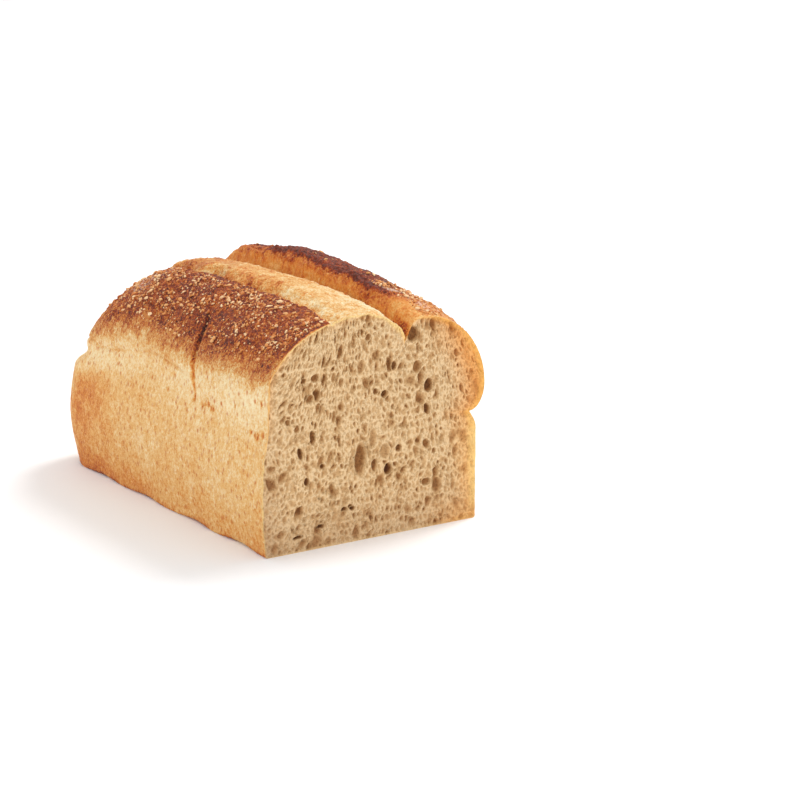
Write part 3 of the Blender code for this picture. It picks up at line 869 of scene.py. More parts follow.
@dataclass
class Crust:
    """The whole crust as one fine grid of rings, with its relief and how far each place has baked."""

    form: LoafForm = field(default_factory=LoafForm)
    depths: ReliefDepths = field(default_factory=ReliefDepths)
    pitch: float = 0.0006
    crack_pitch: float = 0.0003
    crack_room: float = 0.0045
    corner_steps: int = 56
    end_rings: int = 64
    uneven: tuple[tuple[float, int], ...] = ((0.030, 21), (0.007, 22), (0.0025, 23))
    dark_line: Table = (
        (0.001, 0.0815), (0.017, 0.0790), (0.084, 0.0790), (0.100, 0.0796), (0.126, 0.0810),
        (0.148, 0.0770), (0.171, 0.0730), (0.181, 0.0720), (0.200, 0.0680), (0.218, 0.0640),
    )
    rim_line: Table = (
        (0.006, 0.058), (0.047, 0.063), (0.065, 0.063), (0.114, 0.066), (0.165, 0.0585), (0.194, 0.054),
    )
    fold_line: Table = (
        (0.083, 0.072), (0.103, 0.075), (0.114, 0.0756), (0.136, 0.072),
        (0.158, 0.069), (0.175, 0.068), (0.182, 0.070), (0.195, 0.070),
    )
    pits: tuple[tuple[float, float, float], ...] = (
        (0.0690, 0.0618, 0.0015), (0.0722, 0.0714, 0.0008), (0.0606, 0.0596, 0.0011),
        (0.0575, 0.0612, 0.0009), (0.0547, 0.0618, 0.0012), (0.0520, 0.0600, 0.0010),
        (0.0499, 0.0604, 0.0012), (0.0145, 0.0568, 0.0010), (0.0108, 0.0560, 0.0009),
        (0.0082, 0.0559, 0.0014), (0.0040, 0.0573, 0.0014), (0.0300, 0.0660, 0.0008),
        (0.0065, 0.0715, 0.0011), (0.0910, 0.0690, 0.0008), (0.0960, 0.0610, 0.0007),
    )
    scab: Triple = (0.0772, 0.0962, 0.0021)
    wall_patches: tuple[Patch, ...] = (
        Patch(0.09, up=((0.030, 0.0),)),
        Patch(0.05, along=((0.07, 0.14),), up=((0.022, 0.0),)),
        Patch(0.07, along=((0.10, 0.19),)),
    )
    pale_patches: tuple[Patch, ...] = (
        Patch(0.04, along=((0.06, 0.16),)),
        Patch(0.05, along=((0.078, 0.094), (0.13, 0.11))),
    )
    deep_patches: tuple[Patch, ...] = (Patch(-0.10, along=((0.11, 0.18),)),)
    stripe_patches: tuple[Patch, ...] = (
        Patch(0.08, along=((0.04, 0.09),)),
        Patch(0.05, along=((0.10, 0.17),)),
        Patch(-0.07, along=((0.010, 0.0),)),
    )
    dark_levels: Table = (
        (-8.0, 0.0), (-4.0, 0.05), (-1.0, 0.15), (2.0, 0.35), (5.0, 0.53), (9.0, 0.76), (14.0, 1.0),
    )
    right_levels: Table = (
        (40.0, 0.22), (56.0, 0.14), (66.0, 0.20), (76.0, 0.34), (88.0, 0.48), (97.0, 0.62), (120.0, 0.68),
    )
    end_levels: Table = (
        (0.0, 0.42), (3.0, 0.33), (30.0, 0.30), (50.0, 0.28), (58.0, 0.14), (66.0, 0.22), (76.0, 0.45),
    )
    crack_levels: Table = (
        (60.0, 0.58), (65.0, 0.38), (69.0, 0.36), (71.5, 0.49), (74.0, 0.40),
        (79.0, 0.50), (82.0, 0.66), (86.0, 0.76), (89.0, 0.88), (94.0, 1.0),
    )
    names: Array = field(init=False)
    share: Array = field(init=False)
    base: Array = field(init=False)
    y: Array = field(init=False)
    z: Array = field(init=False)
    broad: Array = field(init=False)
    medium: Array = field(init=False)
    small: Array = field(init=False)
    ridge: Array = field(init=False)
    points: Array = field(init=False)
    normals: Array = field(init=False)
    values: dict[str, Array] = field(init=False)
    side_rings: int = field(init=False)

    def __post_init__(self) -> None:
        """Works out the grid, its unevenness, its relief and the values that its finish reads."""
        self.names = np.repeat(np.array([name.value for name in FINE_STEPS]), list(FINE_STEPS.values()))
        self.share = np.concatenate([np.arange(count) / count for count in FINE_STEPS.values()])
        y, turn = self.stations()
        side = self.form.crust_rings(y, turn, FINE_STEPS)
        self.side_rings = len(y)
        shares = np.linspace(0.0, 1.0, self.end_rings + 2)[1:-1]
        self.base = self.form.settled(np.concatenate([side, self.form.end_rings(side[-1], shares)]))
        self.y, self.z = self.base[..., 1], self.base[..., 2]
        self.broad, self.medium, self.small = [noise(self.base, size, seed) for size, seed in self.uneven]
        self.ridge = self.form.crown_line(self.y[:, :1])["ear"][1] - self.z
        self.values = self.baking()
        self.points = self.base + self.relief()
        self.normals = grid_normals(self.points)

    def stations(self) -> tuple[Array, Array]:
        """Distances from the cut with their corner angles: even, but closer at the crack."""
        form = self.form
        near = form.crack_y - self.crack_room
        far = form.crack_y + self.crack_room
        corner = form.length - form.corner
        side = np.concatenate([
            np.arange(0.0, near - 0.5 * self.pitch, self.pitch),
            np.arange(near, far, self.crack_pitch),
            np.arange(far, corner - 0.5 * self.pitch, self.pitch),
        ])
        turn = np.linspace(0.0, np.pi / 2, self.corner_steps + 1)
        y = np.concatenate([side, corner + form.corner * np.sin(turn)])
        return y, np.concatenate([np.zeros(len(side)), turn])

    def on(self, *stretches: Stretch) -> Array:
        """1 on the columns of the named stretches, 0 elsewhere, as one row."""
        return np.isin(self.names, [stretch.value for stretch in stretches]).astype(float)[None, :]

    def over(self, table: Sequence[Pair]) -> Array:
        """Heights above a line that is given as (distance from the cut, height)."""
        return self.z - looked_up(table, self.y)

    def varied(self, level: Any, broad: float, medium: float, small: float) -> Array:
        """A level made uneven by the broad, medium and small noise, each by its own amount."""
        return level + broad * self.broad + medium * self.medium + small * self.small

    def patched(self, patches: Sequence[Patch]) -> Array:
        """What a table of patches adds at each place."""
        return sum(patch.at(self.y, self.z) for patch in patches)

    def fibres(self) -> Array:
        """Noise drawn out upwards, for the torn inner wall of the cleft."""
        return noise(stretched(self.base, (1.0, 1.0, 0.3)), 0.0024, 33)

    def pit_field(self) -> Array:
        """From 0 to 1: how deep each place lies in a pit of the left wall, the nearest pit's bell curve."""
        deepest = np.zeros(self.y.shape)
        wobble = 0.4 * MM * noise(self.base, 0.0012, 71)
        for y, z, radius in self.pits:
            away = np.hypot(self.y - y, (self.z - z) * 0.8) + wobble
            deepest = np.maximum(deepest, np.exp(-((np.clip(away, 0.0, None) / radius) ** 2)))
        return deepest * self.on(Stretch.WALL_LEFT, Stretch.BAND_LEFT)

    def crack_field(self) -> Array:
        """From 0 to 1: how near each place is to the crack on the left side, a bell curve across it."""
        columns = self.base.shape[1]
        along = np.broadcast_to(self.stations()[0][:, None], (self.side_rings, columns))
        away = np.concatenate([along - self.form.crack_y, np.ones((self.end_rings, columns))])
        away = away - 1.5 * MM * smooth(0.063, 0.070, self.z) * smooth(0.096, 0.086, self.z)
        high = self.form.crack_span[1]
        reach = 1.0 - smooth(high - 0.006, high - 0.001, self.z)
        width = blend(0.0007, 0.0017, smooth(0.085, 0.095, self.z))
        return self.form.crack_side(self.base[..., 0], self.z) * reach * np.exp(-((away / width) ** 2))

    def fold_field(self) -> Array:
        """From 0 to 1: how near each place is to the left shoulder's fold, a bell curve across its line."""
        on_side = self.on(Stretch.BAND_LEFT, Stretch.SHOULDER_LEFT)
        away = self.over(self.fold_line) * on_side + (1.0 - on_side)
        return np.exp(-((away / 0.0008) ** 2)) * smooth(0.074, 0.084, self.y) * smooth(0.200, 0.192, self.y)

    def burnt_band(self) -> Array:
        """From 0 to 1: the burnt band under the ear, whose ragged width grows away from the cut."""
        width = 0.0016 + 0.0008 * noise(self.base, 0.0080, 34) + 0.0012 * noise(self.base, 0.0022, 38)
        width = width * smooth(0.018, 0.050, self.y)
        return smooth(width + 0.0016, width - 0.0008, self.ridge)

    def left_baking(self, shoulder: Array) -> Array:
        """The left side's baking: its wall, the pale band over the tin's rim, a painted shadow under the rim
        away from the cut, and the dark shoulder.

        Args:
            shoulder: how far each place is into the dark shoulder, from 0 to 1.

        Returns:
            How far each place has baked.
        """
        y, z = self.y, self.z
        rim = self.over(self.rim_line) + 2.5 * MM * self.medium + 1.5 * MM * self.small
        wall = self.varied(0.235, 0.035, 0.040, 0.035) + self.patched(self.wall_patches)
        # Painted shadow: a dark line just below the tin's rim, where the pale band overhangs the wall, away
        # from the cut.
        painted_rim_shadow = np.exp(-(((rim + 0.0022) / 0.0016) ** 2))
        wall = wall + 0.08 * painted_rim_shadow * smooth(0.095, 0.125, y) * smooth(0.190, 0.170, y)
        far = smooth(0.120, 0.195, y) * smooth(0.014, 0.034, z) * smooth(0.066, 0.052, z)
        wall = wall + 0.11 * far * (1.0 + 0.6 * self.medium)
        wall = wall + 0.22 * smooth(0.0032, 0.0004, z) * smooth(-0.6, 0.6, self.medium)
        pale = self.varied(0.125, 0.0, 0.05, 0.03) + self.patched(self.pale_patches)
        on_band = smooth(-0.010, 0.003, rim) * (1.0 - 0.25 * smooth(0.0, 0.7, self.broad))
        deep = self.varied(0.676, 0.05, 0.06, 0.05) + self.patched(self.deep_patches)
        torn_edge = self.on(Stretch.SHOULDER_LEFT) * smooth(0.955, 0.985, self.share)[None, :]
        return blend(blend(blend(wall, pale, on_band), deep, shoulder), 0.72, 0.8 * torn_edge)

    def stripe_baking(self) -> Array:
        """The torn stripe's baking: golden, browner at its lip and paler down its right side."""
        golden = 0.255 + 0.08 * noise(stretched(self.base, (1.0, 0.45, 1.0)), 0.006, 31)
        golden = golden + 0.09 * self.small + 0.06 * noise(self.base, 0.016, 35)
        golden = golden + self.patched(self.stripe_patches)
        by_lip = self.on(Stretch.LIP, Stretch.STRIPE_LEFT) * smooth(0.01, 0.05, self.y)
        golden = golden + 0.07 * by_lip * smooth(-0.5, 0.6, self.medium) + 0.16 * self.on(Stretch.LIP)
        fall = self.on(Stretch.STRIPE_RIGHT) * smooth(0.20, 0.50, self.share)[None, :]
        return golden - 0.11 * fall * (1.0 + 0.5 * self.medium)

    def inner_baking(self, burnt: Array) -> Array:
        """The cleft wall's baking: orange, with the burnt band under the ear, and painted shade darker brown
        at the cleft's floor by the cut.
        """
        y, ridge = self.y, self.ridge
        inner = self.varied(0.40, 0.0, 0.05, 0.04) + 0.06 * self.fibres()
        inner = inner + 0.11 * smooth(0.008, 0.004, ridge) * smooth(0.01, 0.04, y)
        inner = blend(inner, self.varied(0.78, 0.0, 0.05, 0.05), burnt * smooth(0.008, 0.040, y))
        inner = inner - 0.06 * smooth(0.022, 0.0, y) * smooth(0.030, 0.010, ridge)
        # Painted shade: the cleft's floor by the cut is darkened, as if in shadow.
        return inner + 0.24 * smooth(0.020, 0.003, y) * smooth(0.0025, 0.0065, ridge)

    def right_baking(self, near_ridge: Array) -> Array:
        """The right side's baking: by height, burnt near the ridge and paler on the crest by the cut."""
        right = self.varied(looked_up(self.right_levels, self.z / MM), 0.03, 0.05, 0.04)
        right = blend(right, 0.78 + 0.04 * self.medium, 0.85 * near_ridge)
        right = right - 0.27 * smooth(0.034, 0.006, self.y) * smooth(0.094, 0.100, self.z)
        return blend(right, 0.28 + 0.03 * self.medium, smooth(0.050, 0.044, self.z))

    def marked(self, bake: Array, left_on: Array, end: Array, cut_edge: Array) -> Array:
        """The baking with its marks: the end and its corner, the cut's edge, pits, painted shade along the
        fold, crack and scab.

        Args:
            bake: how far each place has baked.
            left_on: 1 on the left side, 0 elsewhere.
            end: from 0 to 1 over the baked end.
            cut_edge: from 0 to 1 at the cut's edge.

        Returns:
            How far each place has baked, with the marks.
        """
        y, z, length = self.y, self.z, self.form.length
        bake = blend(bake, self.varied(looked_up(self.end_levels, z / MM), 0.0, 0.04, 0.03), end)
        upright = left_on * smooth(0.014, 0.030, z) * smooth(0.064, 0.052, z)
        bake = bake + 0.08 * upright * np.exp(-(((y - length + 0.0158) / 0.0012) ** 2))
        bake = bake - 0.09 * upright * smooth(length - 0.0150, length - 0.0125, y)
        bake = blend(bake, 0.24, 0.55 * cut_edge * (1.0 + 0.5 * self.medium))
        bake = blend(bake, 0.60, 0.85 * self.pit_field())
        # Painted shade: the fold is darkened in patches, as if shaded in its crease.
        bake = bake + 0.09 * self.fold_field() * smooth(-0.5, 0.5, noise(self.base, 0.006, 37))
        crack = np.clip(1.4 * self.crack_field(), 0.0, 1.0)
        bake = blend(bake, looked_up(self.crack_levels, z / MM), crack)
        scab_y, scab_z, radius = self.scab
        scab = np.hypot(y - scab_y, z - scab_z) + 0.5 * MM * self.small
        return blend(bake, 0.92, np.exp(-((scab / radius) ** 4)) * self.on(Stretch.SHOULDER_LEFT))

    def baking(self) -> dict[str, Array]:
        """How far each place has baked, and the other values that the finish reads.

        Returns:
            bake, mottle, flour, mauve and wall for each place, each from 0 to 1.
        """
        y, z, medium = self.y, self.z, self.medium
        dark = self.over(self.dark_line) + 1.3 * MM * medium + 1.1 * MM * self.small
        shoulder = looked_up(self.dark_levels, dark / MM)
        burnt = self.burnt_band()
        on_crest = self.on(Stretch.SHOULDER_RIGHT)
        near_ridge = smooth(0.0130, 0.0030, self.ridge + 1.5 * MM * medium)
        near_ridge = near_ridge * on_crest * smooth(0.014, 0.060, y)

        stripe_on = self.on(Stretch.LIP, Stretch.STRIPE_LEFT, Stretch.STRIPE_RIGHT)
        inner_on = self.on(Stretch.CLEFT_WALL)
        below_crest = self.on(Stretch.UNDER_BULGE, Stretch.NOTCH, Stretch.WALL_RIGHT, Stretch.FOOT_RIGHT)
        right_on = on_crest + below_crest
        left_on = 1.0 - stripe_on - inner_on - right_on
        end = smooth(self.form.length - 0.030, self.form.length - 0.004, y)
        cut_edge = smooth(0.0016, 0.0002, y)
        bake = self.left_baking(shoulder) * left_on + self.stripe_baking() * stripe_on
        bake = bake + self.inner_baking(burnt) * inner_on + self.right_baking(near_ridge) * right_on
        bake = self.marked(bake, left_on, end, cut_edge)

        mottle = 0.32 + 0.32 * smooth(0.42, 0.60, bake) + 0.08 * stripe_on - 0.10 * inner_on
        mottle = mottle + 0.80 * shoulder * (1.0 - shoulder) * left_on
        mottle = mottle - 0.20 * np.clip(near_ridge + burnt * inner_on, 0.0, 1.0) * smooth(0.01, 0.04, y)
        flour = 0.58 * on_crest * (0.7 + 0.5 * medium) * smooth(0.095, 0.020, y)
        flour = flour + 0.52 * self.on(Stretch.SHOULDER_LEFT) * smooth(0.10, 0.17, y)
        flour = flour * smooth(0.088, 0.100, z)
        mauve = 0.10 * left_on * smooth(0.5 * MM, 4.0 * MM, dark) * smooth(13.0 * MM, 7.0 * MM, dark)
        mauve = mauve * (1.0 - 0.4 * smooth(0.12, 0.17, y)) * (1.0 + 0.5 * medium)
        blotches = smooth(-0.1, 0.7, noise(self.base, 0.0075, 36))
        mauve = mauve + 0.40 * stripe_on * smooth(0.085, 0.15, y) * blotches
        sides = left_on * smooth(0.30, 0.05, shoulder) + right_on * smooth(0.40, 0.25, bake)
        return {
            "bake": np.clip(bake, 0.0, 1.0),
            "mottle": blend(mottle, 0.32, end),
            "flour": np.clip(flour, 0.0, 1.0) * (1.0 - end),
            "mauve": np.clip(mauve, 0.0, 1.0) * (1.0 - cut_edge) * (1.0 - end),
            "wall": blend(np.clip(sides, 0.0, 1.0), 1.0, end) * (1.0 - cut_edge),
        }

    def torn_relief(self, fine: Array) -> Array:
        """The torn stripe's relief: crumbly, drawn out along the loaf, and fringed down to the cleft."""
        depths = self.depths
        drawn = stretched(self.base, (1.0, 0.5, 1.0))
        crumbly = np.abs(noise(self.base, 0.0019, 55)) + 0.5 * np.abs(fine)
        ragged = depths.torn_draw * noise(drawn, 0.0024, 48) + depths.torn_crumble * (crumbly - 0.4)
        ragged = ragged + depths.torn_swell * noise(drawn, 0.0075, 49)
        fringe = self.on(Stretch.STRIPE_RIGHT) * smooth(0.30, 0.75, self.share)[None, :]
        fringe = fringe * smooth(0.004, 0.02, self.y) * depths.torn_fringe * noise(self.base, 0.0030, 52)
        return self.on(Stretch.LIP, Stretch.STRIPE_LEFT, Stretch.STRIPE_RIGHT) * ragged + fringe

    def ear_relief(self, fine: Array) -> Array:
        """The ear's relief: bumps along its ridge, and a row of lumps below it in the cleft."""
        depths, y, ridge = self.depths, self.y, self.ridge
        on_ear = self.on(Stretch.CLEFT_WALL, Stretch.SHOULDER_RIGHT) * smooth(0.006, 0.0, ridge)
        bumps = depths.ear * noise(self.base, 0.0040, 51) + depths.ear_grain * fine
        lump = self.on(Stretch.CLEFT_WALL) * smooth(0.0095, 0.0065, ridge) * smooth(0.0026, 0.0045, ridge)
        lumps = depths.ear_lump * (0.5 + 0.9 * noise(self.base, 0.0024, 53))
        return on_ear * smooth(0.0, 0.02, y) * bumps + lump * smooth(0.005, 0.03, y) * lumps

    def relief(self) -> Array:
        """How far each place is moved: out along its normal by noise, and in at the cracks and pits.

        Returns:
            One move (x, y, z) for each place.
        """
        base, y, z, depths = self.base, self.y, self.z, self.depths
        dark_on = smooth(0.36, 0.58, self.values["bake"])
        fine = noise(base, 0.0011, 44)
        diagonal = np.stack([base[..., 0] + z, 0.35 * (y - 0.9 * z), 0.0 * z], axis=-1)
        dark = depths.blister * fractal(base, 0.0038, 41, 2) + depths.dark_grain * fine
        dark = dark + depths.wrinkle * noise(diagonal + 0.35 * base, 0.0020, 45)
        side = depths.side_streak * noise(stretched(base, (1.0, 1.0, 0.3)), 0.0016, 46)
        side = side + depths.side_grain * fine + depths.side_swell * noise(base, 0.008, 47)
        height = blend(side, dark, dark_on)
        under = self.on(Stretch.UNDER_BULGE, Stretch.NOTCH) * smooth(0.0, 0.01, y)
        height = height + depths.under_bulge * under * noise(base, 0.016, 56)

        length = self.form.length
        off_end = 1.0 - smooth(length - 0.020, length - 0.004, y) * smooth(0.072, 0.060, z)
        cleft = depths.cleft_fibre * self.fibres() + depths.cleft_grain * fine
        height = height + off_end * (self.torn_relief(fine) + self.on(Stretch.CLEFT_WALL) * cleft)
        height = height + self.ear_relief(fine)
        height = height - depths.fold * self.fold_field() * (1.0 + 0.6 * noise(base, 0.009, 54))
        height = height - blend(*depths.crack, smooth(0.078, 0.088, z)) * self.crack_field()
        height = height - depths.pit * self.pit_field()
        free = smooth(0.0004, 0.004, z) * (1.0 - self.on(Stretch.BASE_LEFT, Stretch.BASE_RIGHT))
        normal = grid_normals(base)
        normal[..., 1] *= smooth(0.0, 0.002, y)
        return normal * (height * free)[..., None]

    def columns(self, first: Stretch, last: Stretch) -> Array:
        """Column numbers from the start of one stretch to the start of the one after another."""
        order = [name.value for name in FINE_STEPS]
        after = order[(order.index(last.value) + 1) % len(order)]
        start, stop = [int(np.argmax(self.names == name)) for name in (first.value, after)]
        count = len(self.names)
        return np.arange(start, start + (stop - start) % count + 1) % count

    def side_piece(self, name: str, first: Stretch, last: Stretch) -> Piece:
        """One piece of the side of the crust, from one stretch to another, with its own values."""
        rows, columns = np.arange(self.side_rings), self.columns(first, last)
        pick = np.ix_(rows, columns)
        points = self.form.to_part(self.points[pick]).reshape(-1, 3)
        piece = Piece(name, points, [quads(len(rows), len(columns), closed=False)])
        piece.keep({key: value[pick] for key, value in self.values.items()})
        piece.shade(self.normals[pick])
        return piece

    def baked_end(self) -> Piece:
        """The end of the loaf: the last side ring, the end rings and a fan to the tip."""
        rows = np.arange(self.side_rings - 1, self.side_rings + self.end_rings)
        count = len(self.names)
        form = self.form
        tip = np.array([[0.0, form.length + form.end_crown, 0.5 * form.rim_left[1]]])
        points = np.concatenate([self.points[rows].reshape(-1, 3), tip])
        last = (len(rows) - 1) * count
        j = np.arange(count)
        fan = np.stack([last + j, last + (j + 1) % count, np.full(count, len(points) - 1)], axis=-1)
        piece = Piece("baked_end", form.to_part(points), [quads(len(rows), count, closed=True), fan])
        kept = {key: value[rows] for key, value in self.values.items()}
        piece.keep({key: np.append(value.ravel(), value[-1].mean()) for key, value in kept.items()})
        piece.shade(np.concatenate([self.normals[rows].reshape(-1, 3), [[0.0, 1.0, 0.0]]]))
        return piece

    def build(self, material: bpy.types.Material) -> None:
        """Builds and dresses the crust's pieces."""
        parts = (
            self.side_piece("tin_sides", Stretch.WALL_RIGHT, Stretch.WALL_LEFT),
            self.side_piece("left_shoulder", Stretch.BAND_LEFT, Stretch.SHOULDER_LEFT),
            self.side_piece("torn_stripe", Stretch.LIP, Stretch.CLEFT_WALL),
            self.side_piece("right_shoulder", Stretch.SHOULDER_RIGHT, Stretch.NOTCH),
            self.baked_end(),
        )
        for part in parts:
            part.dress(material)


@dataclass(frozen=True)
class CellSize:
    """One size of crumb cell: its pitch, how tall and how open it is, and the strand between two."""

    pitch: float
    tall: float
    opened: float
    strand: float
    slope: float
    depth: Pair
    # How dark the cell's hollow is painted: painted shade in the cell.
    look: Pair
    seed: int


@dataclass
class Crumb:
    """The cut face: rings from the crust's edge to a middle point, sunk at the cells between its strands."""

    crust: Crust
    centre: Pair = (0.0080, 0.0580)
    base_split: int = 11
    rings: int = 186
    halvings: int = 6
    seam_ring: int = 46
    sizes: tuple[CellSize, ...] = (
        CellSize(0.0056, 1.40, 0.14, 0.00020, 0.0018, (0.0008, 0.0024), (0.45, 0.80), 101),
        CellSize(0.0038, 1.50, 0.45, 0.00014, 0.0015, (0.0005, 0.0017), (0.30, 0.74), 202),
        CellSize(0.0024, 1.50, 0.96, 0.00010, 0.0010, (0.0003, 0.0012), (0.22, 0.66), 303),
        CellSize(0.0013, 1.30, 0.92, 0.00006, 0.0006, (0.0001, 0.0005), (0.10, 0.34), 404),
    )
    # Large pores, one a row: x, z, half width, half height, lean and tone; the tone sets the depth and the
    # painted shade inside.
    large: tuple[tuple[float, float, float, float, float, float], ...] = (
        (-0.0069, 0.0391, 0.0036, 0.0090, 0.04, 0.66), (0.0088, 0.0323, 0.0025, 0.0030, 0.0, 1.0),
        (0.0009, 0.0350, 0.0017, 0.0036, 0.10, 0.72), (0.0066, 0.0410, 0.0029, 0.0046, 0.0, 0.34),
        (0.0001, 0.0487, 0.0023, 0.0056, 0.05, 0.36), (0.0317, 0.0700, 0.0028, 0.0036, 0.0, 0.86),
        (0.0253, 0.0801, 0.0028, 0.0033, 0.1, 0.60), (0.0123, 0.0822, 0.0017, 0.0028, 0.0, 0.78),
        (0.0306, 0.0585, 0.0020, 0.0031, -0.1, 0.80), (-0.0331, 0.0536, 0.0018, 0.0038, -0.1, 0.78),
        (-0.0397, 0.0465, 0.0017, 0.0031, -0.1, 0.90), (-0.0366, 0.0327, 0.0015, 0.0022, 0.0, 0.90),
        (-0.0278, 0.0395, 0.0014, 0.0014, 0.0, 0.85), (-0.0132, 0.0177, 0.0013, 0.0014, 0.0, 0.80),
        (0.0306, 0.0417, 0.0023, 0.0030, -0.2, 0.62), (0.0307, 0.0229, 0.0025, 0.0022, 0.0, 0.60),
        (0.0145, 0.0417, 0.0020, 0.0020, 0.0, 0.74), (-0.0371, 0.0806, 0.0018, 0.0014, 0.4, 0.64),
        (-0.0312, 0.0817, 0.0021, 0.0020, 0.5, 0.60), (-0.0345, 0.0718, 0.0019, 0.0022, 0.4, 0.60),
        (0.0479, 0.0836, 0.0016, 0.0022, -0.2, 0.60), (-0.0165, 0.0165, 0.0016, 0.0012, 0.0, 0.95),
        (-0.0120, 0.0165, 0.0017, 0.0013, 0.0, 0.95), (-0.0290, 0.0100, 0.0022, 0.0010, 0.0, 0.95),
        (-0.0420, 0.0070, 0.0026, 0.0010, 0.0, 0.90), (0.0226, 0.0958, 0.0030, 0.0040, 0.15, 0.72),
        (-0.0176, 0.0922, 0.0015, 0.0036, 0.35, 0.62), (-0.0215, 0.0804, 0.0012, 0.0029, 0.2, 0.45),
        (-0.0022, 0.0969, 0.0015, 0.0022, 0.1, 0.58), (0.0066, 0.0691, 0.0021, 0.0022, 0.0, 0.80),
        (0.0016, 0.0707, 0.0013, 0.0017, 0.0, 0.72), (-0.0211, 0.0619, 0.0012, 0.0033, 0.05, 0.50),
        (-0.0303, 0.0670, 0.0013, 0.0029, 0.15, 0.52), (-0.0184, 0.0505, 0.0010, 0.0040, 0.0, 0.50),
        (-0.0417, 0.0587, 0.0015, 0.0019, 0.1, 0.56), (-0.0464, 0.0622, 0.0015, 0.0019, 0.0, 0.56),
    )

    def outline(self) -> Array:
        """The crust's first ring with each side cut into equal parts, more of them along the base."""
        ring = self.crust.points[0][:, [0, 2]]
        on_base = self.crust.on(Stretch.BASE_LEFT, Stretch.BASE_RIGHT)[0] > 0.5
        parts = np.where(on_base, self.base_split, 2)
        start = np.repeat(np.arange(len(ring)), parts)
        order = np.arange(parts.sum()) - np.repeat(np.cumsum(parts) - parts, parts)
        share = (order / np.repeat(parts, parts))[:, None]
        return ring[start] + (np.roll(ring, -1, axis=0)[start] - ring[start]) * share

    def lattice(self) -> tuple[Array, list[Array], Array]:
        """Rings of points whose count halves towards the middle, joined by triangles.

        Returns:
            The points (x, z), the faces ring by ring, and each point's share of the way out.
        """
        outline = self.outline()
        middle = np.array(self.centre)
        shares = np.linspace(1.0, 0.0, self.rings + 1)[:-1]
        halved = np.clip(np.floor(1e-9 - np.log2(shares)), 0, self.halvings).astype(int)
        counts = len(outline) >> halved
        rows = [
            middle + (outline[:: len(outline) // count] - middle) * share
            for share, count in zip(shares, counts)
        ]
        starts = np.concatenate([[0], np.cumsum(counts)])
        faces = [
            self.between(starts[ring], counts[ring], starts[ring + 1], counts[ring + 1])
            for ring in range(len(counts) - 1)
        ]
        last = np.arange(counts[-1])
        tip = np.full(counts[-1], starts[-1])
        faces.append(np.stack([starts[-2] + last, tip, starts[-2] + (last + 1) % counts[-1]], axis=-1))
        points = np.concatenate(rows + [middle[None, :]])
        return points, faces, np.append(np.repeat(shares, counts), 0.0)

    def between(self, outer: int, outer_count: int, inner: int, inner_count: int) -> Array:
        """Triangles between two rings.

        Args:
            outer: the number of the outer ring's first point.
            outer_count: how many points it has.
            inner: the number of the inner ring's first point.
            inner_count: how many points it has: as many, or half as many.

        Returns:
            The triangles.
        """
        j = np.arange(inner_count)
        k = (j + 1) % inner_count
        if outer_count == inner_count:
            corners = ((outer + j, inner + j, outer + k), (outer + k, inner + j, inner + k))
        else:
            a, b, c = 2 * j, 2 * j + 1, (2 * j + 2) % outer_count
            corners = (
                (outer + a, inner + j, outer + b),
                (outer + b, inner + j, inner + k),
                (outer + b, inner + k, outer + c),
            )
        return np.concatenate([np.stack(corner, axis=-1) for corner in corners])

    def drawn(self, points: Array) -> Array:
        """Places sheared by a lean that grows with z, so that the cells lie along the shoulders' crust."""
        x, z = points.T
        high = np.clip(z - 0.045, 0.0, None) ** 2 / 0.100
        left = smooth(-0.002, -0.050, x) * (0.12 * z + 0.85 * high)
        right = smooth(0.030, 0.060, x) * (0.05 * z + 0.45 * high)
        return np.stack([x - left + right, z], axis=-1)

    def cell_layer(self, points: Array, kind: CellSize) -> tuple[Array, Array]:
        """Cells of one size: each place belongs to the nearest of many scattered spots.

        Strands are left between the cells. The distance to the border between two cells is half the second
        nearest spot's distance less the nearest's.

        Args:
            points: places (x, z).
            kind: the size of cell.

        Returns:
            The depth at each place, and how hollow it looks there from 0 to 1, painted as shade in the cell.
        """
        grid = points / (kind.pitch * np.array([1.0, kind.tall]))
        home = np.floor(grid).astype(np.int64)
        near = np.full(len(grid), 9.0)
        after = near.copy()
        opened = np.zeros(len(grid))
        share = np.zeros(len(grid))
        for step in np.ndindex(3, 3):
            index = home + np.array(step) - 1
            keys = np.concatenate([index, np.zeros((len(index), 1), np.int64)], axis=1)
            draw = [lattice_value(keys, kind.seed + 10 * i) for i in range(5)]
            spot = index + np.stack([0.1 + 0.8 * draw[0], 0.1 + 0.8 * draw[1]], axis=-1)
            away = np.linalg.norm(grid - spot, axis=1) / (0.85 + 0.35 * draw[4])
            closer = away < near
            after = np.where(closer, near, np.minimum(after, away))
            near = np.where(closer, away, near)
            opened = np.where(closer, draw[2], opened)
            share = np.where(closer, draw[3], share)
        edge = 0.5 * (after - near) * kind.pitch
        strand = kind.strand * (1.0 + 0.6 * flat_noise(points, 1.5 * kind.pitch, kind.seed + 7))
        bowl = smooth(strand, strand + kind.slope, edge) * (opened < kind.opened)
        return bowl * blend(*kind.depth, share**2), bowl * blend(*kind.look, share**1.6)

